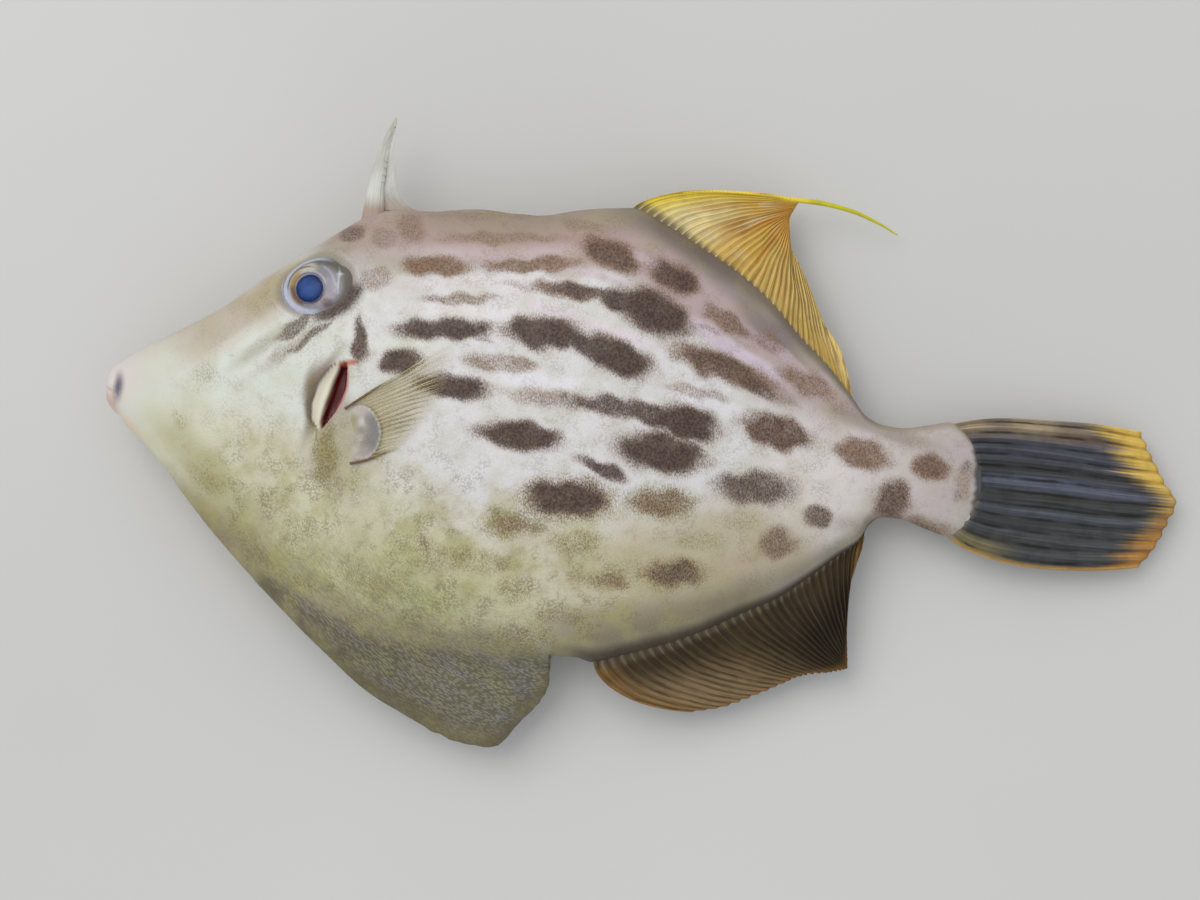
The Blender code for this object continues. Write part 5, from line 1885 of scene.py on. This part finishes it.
@dataclass
class DorsalFin(EdgeFin):
    """Soft dorsal fin, golden, with its long second ray drawn out as a thread."""

    ribs: tuple = (23.0, 30.2)
    margin: tuple = ((27.1, 39.4), (26.3, 38.2), (25.3, 35.9), (25.4, 32.2), (27.0, 28.4), (28.9, 23.8),
                     (31.0, 18.6), (34.0, 13.5), (35.7, 7.4))
    tip_shares: tuple = ((0.0, 0.0), (0.5, 0.1), (0.72, 0.22), (0.85, 0.36), (0.93, 0.52), (1.0, 0.95))
    bow: tuple = ((0.0, 7.6), (0.2, 4.6), (0.45, 0.6), (0.75, -1.2), (1.0, -0.2))
    tip_height: tuple = ((0.0, 7.0), (0.6, 7.2), (1.0, 8.2))
    thread: tuple = ((30.5, 39.1, 6.3), (35.8, 37.9, 5.4), (41.0, 35.7, 4.4), (44.2, 33.9, 3.5))
    thread_radii: tuple = ((0.0, 0.15), (0.4, 0.3), (0.55, 0.44), (0.8, 0.32), (1.0, 0.12))
    thread_sides: int = 20

    def colours(self, mask: np.ndarray, share: np.ndarray, step: np.ndarray) -> tuple[np.ndarray, np.ndarray]:
        """Colour and opacity of the web, slow changes only, from mask, share and step.

        Args:
            mask: Ray mask.
            share: Share along the fin.
            step: Share from root to margin.

        Returns:
            Linear colours and opacities.
        """
        count = share * self.rays
        colour = layered(
            paint(222, 180, 84),
            ((246, 232, 178), 0.85 * ease(0.42, 0.12, share) * ease(0.75, 0.3, step)),
            ((206, 178, 108), 0.6 * ease(0.35, 0.6, share) * ease(1.0, 0.5, step)))
        streak = ease(0.0, 0.7, waves(count, step * 1.5, 3.4, 41)) * ease(0.1, 0.5, step)
        colour = layered(
            colour,
            ((196, 124, 40), 0.6 * streak * ease(0.85, 0.5, share)),
            ((212, 136, 40), 0.8 * ease(0.55, 0.95, step) * ease(0.8, 0.4, share)),
            ((214, 160, 60), 0.7 * ease(0.84, 1.0, step)))
        patch = ease(-0.1, 0.6, waves(count * 0.5, step * 3.0, 2.6, 42)) * ease(0.05, 0.2, step)
        colour = layered(
            colour,
            ((226, 216, 178), 0.6 * patch * ease(0.5, 0.3, share) * ease(0.95, 0.7, step)),
            ((232, 206, 140), 0.65 * ease(0.5, 0.85, share) * ease(0.1, 0.4, step)),
            ((240, 214, 62), 0.9 * ease(0.16, 0.02, share)))
        return self.stitched(colour, mask, step), 1 - 0.15 * (1 - mask) * ease(0.2, 0.6, step)

    def build_thread(self, material: bpy.types.Material) -> bpy.types.Object:
        """Make the thread, a thin tube along the leading ray and on past the fin.

        Args:
            material: The fin's finish.

        Returns:
            The object.
        """
        upper, lower, *_ = self.faces()
        lead = (upper[:, 3] + lower[:, 3]) / 2
        share = np.linspace(0, 1, 260)
        line = along(np.concatenate([lead[30:-3:7], np.array(self.thread)]), share)
        radius = key(self.thread_radii, share) * (1 + 0.06 * np.sin(share * 420))
        points, faces = swept_tube(line, radius, self.thread_sides)
        place = capped(np.repeat(share, self.thread_sides))
        colour = layered(
            paint(230, 206, 60),
            ((216, 210, 36), ease(0.45, 0.7, place)),
            ((186, 116, 36), 0.8 * hump(place, 0.36, 0.05)))
        fields = {"alpha": np.ones(len(points)), "ground": colour, "deep": 0.3 * np.ones(len(points))}
        sheet = np.stack([0 * place, place], 1)
        return make_piece(Piece("dorsal_thread", "yellow_fin"), points, faces, material, fields, sheet)


@dataclass
class AnalFin(EdgeFin):
    """Anal fin, dark brown and swept back to a corner."""

    ribs: tuple = (22.0, 30.9)
    margin: tuple = ((8.6, -47.9), (13.4, -47.2), (21.6, -44.2), (27.4, -41.8), (35.3, -40.3),
                     (35.0, -34.1), (35.4, -26.9), (37.0, -21.4), (38.4, -17.4))
    tip_shares: tuple = ((0.0, 0.0), (0.15, 0.2), (0.3, 0.35), (0.65, 0.54), (0.8, 0.6), (0.9, 0.68),
                         (1.0, 0.95))
    bow: tuple = ((0.0, -8.4), (0.3, -5.2), (0.65, -3.4), (0.85, -1.4), (1.0, -0.2))
    tip_height: tuple = ((0.0, 6.2), (0.6, 6.2), (1.0, 8.0))
    level: float = 1.0
    outward: int = -1

    def colours(self, mask: np.ndarray, share: np.ndarray, step: np.ndarray) -> tuple[np.ndarray, np.ndarray]:
        """Colour and opacity of the web, slow changes only, from mask, share and step.

        Args:
            mask: Ray mask.
            share: Share along the fin.
            step: Share from root to margin.

        Returns:
            Linear colours and opacities.
        """
        colour = layered(
            paint(66, 50, 26),
            ((28, 18, 4), 0.95 * ease(0.3, 0.65, share) * ease(0.2, 0.6, step)),
            ((158, 134, 98), 0.85 * ease(0.55, 0.1, share) * ease(0.1, 0.6, step)),
            ((152, 114, 60), 0.7 * ease(0.88, 1.0, step) * ease(0.9, 0.5, share)),
            ((128, 88, 38), 0.8 * ease(0.9, 1.0, step) * ease(0.5, 0.8, share)),
            ((150, 112, 58), 0.8 * ease(0.1, 0.0, share) + 0.7 * ease(0.9, 1.0, share)))
        return self.stitched(colour, 0.4 * mask, step), 1 - 0.04 * (1 - mask)


@dataclass
class CaudalFin(RayFin):
    """Tail fin, a fan of twelve rays with dark creases and a golden edge."""

    tips: tuple = ((85.9, 0.0), (88.0, -4.8), (89.9, -8.6), (91.9, -12.2), (90.4, -15.8), (88.2, -19.9),
                   (85.4, -23.3))
    bow: tuple = ((0.0, 5.2), (0.12, 3.2), (0.3, 1.2), (0.5, -0.2), (0.7, -2.4), (0.88, -6.0), (1.0, -10.2))
    tip_height: float = 4.6
    root_start: float = 35.0
    root_sink: float = 0.9
    gold_start: tuple = ((0.0, 0.75), (0.22, 0.79), (0.4, 0.85), (0.5, 0.93), (0.6, 0.91), (0.8, 0.87),
                         (1.0, 0.81))

    def outline(self, share: np.ndarray) -> tuple:
        """Root and margin at shares of the fin: points, heights and bows.

        The root goes round the tail base from back to belly, sunk in by root_sink.

        Args:
            share: Shares of the columns.

        Returns:
            Root points, root heights, margin points, bows and margin heights.
        """
        steps = np.linspace(self.form.place(self.root_start), self.form.places[-1], 10)
        back = self.form.section(steps, 0.0)[0]
        belly = self.form.section(steps[::-1], 1.0)[0]
        root = along(np.concatenate([back, belly]), share)
        ahead = unit(np.gradient(root, axis=0))
        root = root - square(ahead) * self.root_sink
        level = np.full(len(share), self.form.ribs[-1][6])
        return root, level, along(self.tips, share), key(self.bow, share), level * 0 + self.tip_height

    def colours(self, mask: np.ndarray, share: np.ndarray, step: np.ndarray) -> tuple[np.ndarray, np.ndarray]:
        """Colour and opacity of the web, slow changes only, from mask, share and step.

        Args:
            mask: Ray mask.
            share: Share along the fin.
            step: Share from root to margin.

        Returns:
            Linear colours and opacities.
        """
        count = share * self.rays
        colour = layered(paint(84, 86, 96), ((76, 79, 78), 0.85 * ease(0.4, 0.7, share)))
        pale = (0.25 + 0.4 * ease(0.7, 0.4, share)) * ease(0.1, 0.6, waves(count, step, 2.6, 31))
        colour = layered(
            colour,
            ((106, 112, 132), pale),
            ((58, 55, 48), 0.6 * ease(0.1, 0.6, waves(count, step, 2.2, 32))))
        streak = 0.025 * waves(count, 0 * step, 0.9, 8) + 0.04 * waves(count, 0 * step, 0.22, 9)
        upper, lower = ease(0.2, 0.05, share), ease(0.84, 0.97, share)
        corner = np.maximum(upper * ease(0.9, 0.2, step), lower * ease(0.8, 0.3, step))
        colour = layered(colour, ((204, 184, 146), 0.9 * upper * ease(0.95, 0.45, step)))
        dusky = hump(step, 0.22, 0.09) + hump(step, 0.66, 0.13)
        colour = layered(
            colour,
            ((116, 104, 108), 0.5 * ease(0.22, 0.05, share) * dusky),
            ((164, 150, 100), 0.85 * lower * ease(0.4, 0.12, step)),
            ((128, 104, 78), 0.7 * hump(share, 0.12, 0.03) * ease(0.3, 0.6, step)))
        start = key(self.gold_start, share)
        rim = ease(-0.06, 0.13, step + streak - start)
        colour = layered(
            colour,
            ((246, 206, 96), 0.95 * rim * ease(0.9, 0.4, share)),
            ((204, 146, 62), 0.9 * rim * ease(0.4, 0.8, share)),
            ((150, 92, 32), 0.4 * ease(0.975, 1.0, step)),
            ((196, 154, 78), 0.9 * ease(0.965, 0.995, share)),
            ((150, 136, 124), 0.7 * ease(0.05, 0.0, step)))
        return colour, 1 - 0.25 * corner * (1 - mask)


@dataclass
class PectoralFin(RayFin):
    """Small clear fan that lies on the flank, behind its lobe."""

    side: Side = Side.LEFT
    turn: float = 0.0
    centre: tuple = (-45.6, 0.0)
    root_line: tuple = ((-48.2, 3.9), (-46.2, 4.4), (-44.4, 3.6), (-43.4, 1.8), (-43.1, -0.5), (-43.6, -2.6),
                        (-44.4, -4.2))
    tip_line: tuple = ((-31.5, 14.4), (-30.5, 12.6), (-31.7, 8.2), (-34.6, 3.0), (-37.5, -1.2), (-39.6, -3.2))
    lift: float = 0.42
    edges: tuple = ((((-48.6, 3.6), (-46.0, 5.3), (-43.4, 7.0), (-40.6, 8.7)), 0.42, 0.22),
                    (((-47.8, -5.3), (-45.6, -4.9), (-43.2, -4.0), (-39.9, -2.8)), 0.42, 0.22))
    edge_sides: int = 12

    def turned(self, plan: np.ndarray) -> np.ndarray:
        """Plan points turned about the fin's centre.

        Args:
            plan: Plan points.

        Returns:
            The turned points.
        """
        turn = math.radians(self.turn)
        wheel = np.array([[math.cos(turn), math.sin(turn)], [-math.sin(turn), math.cos(turn)]])
        return (plan - self.centre) @ wheel + self.centre

    def outline(self, share: np.ndarray) -> tuple:
        """Root and margin at shares of the fin: points, heights and bows."""
        root, tips = (self.turned(along(line, share)) for line in (self.root_line, self.tip_line))
        return root, 0 * share, tips, 0.6 * np.sin(math.pi * share), 0 * share

    def heights(self, plan: np.ndarray, step: np.ndarray, root: np.ndarray, tip: np.ndarray) -> np.ndarray:
        """Middle heights: the flank's, moved out by the lift."""
        return self.form.height(plan[..., 0], plan[..., 1], self.side.value) + self.side.value * self.lift

    def colours(self, mask: np.ndarray, share: np.ndarray, step: np.ndarray) -> tuple[np.ndarray, np.ndarray]:
        """Colour and opacity of the web, slow changes only, from mask, share and step.

        Args:
            mask: Ray mask.
            share: Share along the fin.
            step: Share from root to margin.

        Returns:
            Linear colours and opacities.
        """
        colour = layered(
            paint(212, 196, 138),
            ((206, 194, 158), 0.7 * ease(0.3, 0.9, step)),
            ((128, 96, 60), 0.8 * ease(0.05, 0.0, share) * ease(0.6, 0.1, step)))
        alpha = 0.03 + 0.27 * ease(0.75, 0.05, step) + 0.3 * ease(0.03, 0.0, share) * ease(0.5, 0.2, step)
        return colour, alpha + 0 * mask

    def build_edges(self, material: bpy.types.Material) -> bpy.types.Object:
        """Make the two stout brown rays that edge the fan near its root, as thin tubes on it.

        Args:
            material: The fin's finish.

        Returns:
            The object.
        """
        share = np.linspace(0, 1, 90)
        solids, skins, tips = [], [], []
        for line, lift, radius in self.edges:
            plan = self.turned(along(line, share))
            height = self.form.height(plan[:, 0], plan[:, 1], self.side.value) + self.side.value * lift
            path = np.concatenate([plan, height[:, None]], axis=1)
            girth = radius * (1 - 0.8 * share ** 2) * (1 + 0.05 * np.sin(share * 45))
            points, faces = swept_tube(path, girth, self.edge_sides)
            skins.extend(part + sum(len(solid) for solid in solids) for part in turned_out(points, faces))
            solids.append(points)
            tips.append(capped(np.repeat(share, self.edge_sides)))
        points, place = np.concatenate(solids), np.concatenate(tips)
        points[:, 2] = np.maximum(points[:, 2], 0.05)
        colour = layered(paint(116, 86, 54), ((158, 138, 92), ease(0.3, 0.9, place)))
        fields = {"alpha": 1 - 0.6 * ease(0.5, 1.0, place), "ground": colour, "deep": 0.3 + 0 * place}
        name = self.piece.name.replace("_fan", "_edges")
        sheet = np.stack([0.3 + 0 * place, place], 1)
        return make_piece(Piece(name, self.piece.slot), points, skins, material, fields, sheet)


@dataclass
class FinLobe:
    """Fleshy lobe over a pectoral fin's root, a low dome that sinks into the skin in front."""

    form: BodyForm
    side: Side
    centre: tuple = (-45.7, -0.3)
    radii: tuple = (3.3, 4.9)
    rise: float = 1.0

    def build(self, material: bpy.types.Material, skin: Skin) -> bpy.types.Object:
        """Make the lobe.

        Plan offsets are the radii times the sine of the polar angle. The top stands over the
        flank by the rise times the cosine's root, less towards the front.

        Args:
            material: The skin finish.
            skin: The skin it grows from, for its colours.

        Returns:
            The object.
        """
        polar = np.linspace(0.03, math.pi - 0.03, 70)[:, None]
        turn = full_turn(90)[None, :]
        u, v = np.sin(polar) * np.cos(turn), np.sin(polar) * np.sin(turn)
        x = self.centre[0] + self.radii[0] * (u - 0.12 * v * v)
        y = self.centre[1] + self.radii[1] * v
        top = np.abs(np.cos(polar)) ** 0.6
        front = ease(-1.0, 0.7, u)
        rise = self.rise if self.side is Side.LEFT else 0.3
        bead = 0.6 + 0.4 * np.sin(turn * 31) * np.sin(turn * 7 + 1)
        rim = hump(np.hypot(u, v), 0.88, 0.07) * front * bead
        over = rise * (0.12 + 0.88 * front) * top + 0.14 * rim + 0.05 * waves(x, y, 2.2, 51) * front - 0.2
        lift = np.where(polar < math.pi / 2, over, -0.5 * top - 0.25)
        z = self.form.height(x, y, self.side.value) + self.side.value * lift
        grid = np.stack([x, y, np.maximum(z, 0.05)], axis=2)
        points, faces = closed_tube(grid)
        colour = skin.ground(grid, np.full(u.shape, self.form.place(12)), np.full(u.shape, 0.5))
        cloud = 0.15 * waves(x, y, 3.0, 52)
        # Painted shade on the lobe's rear half, and a painted highlight on its raised rim.
        colour = layered(
            colour,
            ((150, 141, 133), ease(-0.8, 0.2, u + 1.6 * cloud)),
            ((128, 127, 126), 0.8 * ease(0.1, 0.6, u + cloud) * ease(0.9, 0.5, np.abs(v))),
            ((196, 181, 178), 0.5 * ease(0.35, 0.85, np.abs(v)) * ease(0.8, 0.3, np.abs(u))),
            ((214, 208, 202), 0.85 * rim))
        fields = {"ground": capped(colour.reshape(-1, 3))}
        fields["grain"] = np.full(len(points), 0.5)
        fields["wet"] = np.full(len(points), -0.6)
        fields["mottle"] = capped((0.5 * ease(0.3, -0.6, u)).ravel())
        name = f"pectoral_fin_{self.side.name.lower()}"
        piece = Piece(f"{name}_lobe", "clear_fin", (name,))
        return make_piece(piece, points, faces, material, fields, points[:, :2] * MM)


@dataclass
class FirstSpine:
    """First dorsal spine with its barbs, and the small web behind it."""

    path: tuple = ((-45.2, 33.4, 11.9), (-44.7, 40.5, 11.6), (-43.9, 45.0, 11.2), (-42.7, 49.6, 10.6),
                   (-41.5, 53.0, 10.0))
    radii: tuple = ((0.0, 2.2), (0.12, 2.05), (0.3, 1.6), (0.5, 1.2), (0.75, 0.78), (1.0, 0.2))
    barbs: int = 13
    barb_height: float = 0.24
    web_front: tuple = ((-42.6, 50.6), (-43.7, 47.4), (-44.5, 44.1), (-44.9, 40.7), (-44.8, 37.2))
    web_foot: tuple = ((-43.6, 37.2), (-40.9, 37.0), (-38.6, 36.8), (-36.9, 36.7))
    web_edge: tuple = ((-41.4, 50.9), (-41.6, 47.4), (-41.5, 44.1), (-41.2, 40.9), (-40.0, 38.8),
                       (-36.9, 37.3))
    web_height: float = 11.5

    def build(self, material: bpy.types.Material) -> bpy.types.Object:
        """Make the spine.

        It is a tapering tube with a groove behind. Its barbs are bells on the two rear
        corners, leaned towards the foot.

        Args:
            material: The spine's finish.

        Returns:
            The object.
        """
        rows, turns = 420, 56
        share = np.linspace(0, 1, rows)[:, None]
        line = along(self.path, share[:, 0])
        ahead = unit(np.gradient(line, axis=0))[:, None]
        back = unit(np.cross(ahead, np.array([0.0, 0.0, 1.0])))
        up = np.cross(back, ahead)
        turn = np.linspace(-math.pi, math.pi, turns, endpoint=False)[None, :]
        radius = key(self.radii, share[:, 0])[:, None]
        place = share * self.barbs * 1.25
        corner = hump(np.abs(turn), 0.6, 0.25)
        live = window((0.36, 0.46, 0.96, 1.0), share)
        barb = self.barb_height * (1 - (place % 1.0) ** 2.2) * ease(1.0, 0.7, place % 1.0) * live * corner
        full = radius * (1 - 0.14 * hump(turn, 0.0, 0.3)) + barb
        spokes = back * np.cos(turn)[..., None] + up * 0.9 * np.sin(turn)[..., None]
        rings = line[:, None] + spokes * full[..., None]
        points, faces = closed_tube(rings - ahead * (barb * 0.9)[..., None])
        tip = capped(np.repeat(share, turns))
        colour = layered(
            paint(222, 222, 214),
            ((176, 158, 142), ease(0.34, 0.16, tip)),
            ((222, 216, 192), 0.7 * ease(0.5, 1.0, tip)))
        fields = {"alpha": 1 - 0.3 * ease(0.25, 0.7, tip), "ground": colour}
        round_way = np.concatenate([np.tile(turn[0], rows), [0, 0]])
        piece = Piece("first_spine", "clear_fin", ("first_dorsal_spine",))
        return make_piece(piece, points, faces, material, fields, np.stack([round_way, tip], 1))

    def build_web(self, material: bpy.types.Material) -> bpy.types.Object:
        """Make the thin web between the spine and the back, with a few slack folds.

        Args:
            material: The spine's finish.

        Returns:
            The object.
        """
        share = np.linspace(0, 1, 60)
        step = np.linspace(0, 1, 60)[:, None]
        front, edge = along(self.web_front, share), along(self.web_edge, share)
        plan = front + (edge - front) * step[..., None]
        foot = along(self.web_foot, step[:, 0])
        plan = plan + (foot - plan[:, -1])[:, None] * ease(0.6, 1.0, share)[None, :, None]
        height = self.web_height + 0.22 * np.sin(share * 17 + step * 5) * np.sin(math.pi * step)
        thick = 0.1 + 0.25 * ease(0.8, 1.0, share)
        high = np.concatenate([plan, (height + thick)[..., None]], axis=2)
        low = np.concatenate([plan, (height - thick)[..., None]], axis=2)
        points, faces = closed_plate(high, low)
        wide, step = np.broadcast_arrays(share, step)
        colour = layered(paint(222, 222, 216), ((184, 164, 150), ease(0.65, 1.0, wide))).reshape(-1, 3)
        alpha = (0.42 + 0.2 * ease(0.7, 0.0, step) + 0.38 * ease(0.6, 0.95, wide)).ravel()
        fields = {"alpha": np.concatenate([alpha, alpha]), "ground": np.concatenate([colour, colour])}
        sheet = np.stack([step.ravel() * 2, wide.ravel()], 1)
        return make_piece(Piece("first_spine_web", "clear_fin"), points, faces, material, fields,
                          np.concatenate([sheet, sheet]))


@dataclass
class Studio:
    """Pale floor, soft overcast light and the camera that looks straight down."""

    floor_size: float = 3.0
    lens: float = 60.0
    sensor: float = 36.0
    world_strength: float = 0.7
    key_power: float = 6.0
    key_size: float = 0.9
    key_place: tuple = (-0.45, 0.55, 1.0)
    key_colour: tuple = (1.0, 0.985, 0.96)
    sky_colour: tuple = (0.93, 0.965, 1.0, 1.0)
    floor_dark: tuple = (206, 204, 201)
    floor_light: tuple = (212, 210, 207)
    floor_roughness: float = 0.85
    floor_scale: float = 6.0

    def build(self) -> None:
        """Make the floor, lights, camera and colour handling."""
        self.build_floor()
        self.build_light()
        self.build_camera()
        bpy.context.scene.view_settings.view_transform = "Standard"

    def build_floor(self) -> None:
        """Make the floor at height zero, off-white with a fine soft unevenness."""
        material, board, shader = new_material("floor")
        cloud = board.noise(board.place(), self.floor_scale, 3.0)
        colour = board.mix(board.span(cloud, 0.3, 0.7), paint(*self.floor_dark), paint(*self.floor_light))
        board.feed(shader.inputs["Base Color"], colour)
        shader.inputs["Roughness"].default_value = self.floor_roughness
        half = self.floor_size / 2
        mesh = bpy.data.meshes.new("floor")
        corners = [(-half, -half, 0.0), (half, -half, 0.0), (half, half, 0.0), (-half, half, 0.0)]
        mesh.from_pydata(corners, [], [(0, 1, 2, 3)])
        mesh.materials.append(material)
        floor = bpy.data.objects.new("floor", mesh)
        bpy.context.scene.collection.objects.link(floor)

    def build_light(self) -> None:
        """Make the sky's even light and one large soft lamp at the upper left."""
        world = bpy.data.worlds.new("overcast")
        world.use_nodes = True
        background = world.node_tree.nodes["Background"]
        background.inputs["Color"].default_value = self.sky_colour
        background.inputs["Strength"].default_value = self.world_strength
        bpy.context.scene.world = world
        lamp = bpy.data.lights.new("key", "AREA")
        lamp.energy = self.key_power
        lamp.size = self.key_size
        lamp.color = self.key_colour
        holder = bpy.data.objects.new("key", lamp)
        holder.location = self.key_place
        holder.rotation_euler = (-Vector(self.key_place)).to_track_quat("-Z", "Y").to_euler()
        bpy.context.scene.collection.objects.link(holder)

    def build_camera(self) -> None:
        """Make the camera over the chart's middle, looking straight down."""
        data = bpy.data.cameras.new("camera")
        data.lens = self.lens
        data.sensor_width = self.sensor
        data.clip_start = 0.01
        camera = bpy.data.objects.new("camera", data)
        place = np.array([-CHART_SHIFT[0] * CHART_STEP, -CHART_SHIFT[1] * CHART_STEP, EYE_HEIGHT])
        camera.location = (place - PLAN_CENTRE) * MM
        bpy.context.scene.collection.objects.link(camera)
        bpy.context.scene.camera = camera


def main() -> None:
    """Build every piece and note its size."""
    logging.basicConfig(level=logging.INFO, format="%(message)s")
    effects = Effects()
    form = BodyForm()
    skin_finish = SkinFinish().build(effects)
    skin = Skin(form)
    skin.build(skin_finish)
    eye_finish = EyeFinish()
    for side in Side:
        Eye(form, side).build(eye_finish)
    gold = FinFinish("golden_fin", (244, 214, 112), (104, 82, 36), crease_share=0.75,
                     wander=0.2).build(effects)
    brown = FinFinish("brown_fin", (122, 96, 54), (20, 13, 6), 0.42, 0.7, wander=0.5,
                      hair_share=0.5).build(effects)
    slate = FinFinish("slate_fin", (112, 116, 130), (20, 20, 20), 0.15, 0.95, joints=90.0, wander=0.1,
                      crease_start=0.31, strands=22.0, hair_share=0.5).build(effects)
    clear = FinFinish("clear_fin", (240, 230, 192), (124, 98, 60), 0.85, 0.9, 40.0, 0.6, wander=0.12,
                      crease_start=0.3).build(effects)
    horn = FinFinish("spine_horn", (210, 206, 194), (150, 140, 120), 0.0, 0.0, hair_share=0.16).build(effects)
    dorsal = DorsalFin(form, Piece("dorsal_fin_fan", "yellow_fin", ("dorsal_fin",)), 35, 5, depth=(0.35, 1.0))
    dorsal.build(gold)
    dorsal.build_thread(gold)
    AnalFin(form, Piece("anal_fin_fan", "dark_fin", ("anal_fin",)), 34, 6).build(brown)
    CaudalFin(form, Piece("caudal_fin_fan", "slate_fin", ("caudal_fin",)), 12, 7, 26, 120, ridge=0.2,
              pleat=0.45, scallop=0.3, clean_rim=0.6).build(slate)
    for side, turn in ((Side.LEFT, 0.0), (Side.RIGHT, -96.0)):
        FinLobe(form, side).build(skin_finish, skin)
        fan = PectoralFin(form, Piece(f"pectoral_fin_{side.name.lower()}_fan", "clear_fin"), 18, 9, ridge=0.1,
                          swell=0.0, pleat=0.1, half=0.08, side=side, turn=turn)
        fan.build(clear)
        fan.build_edges(clear)
    spine = FirstSpine()
    spine.build(horn)
    spine.build_web(horn)
    Studio().build()


if __name__ == "__main__":
    main()
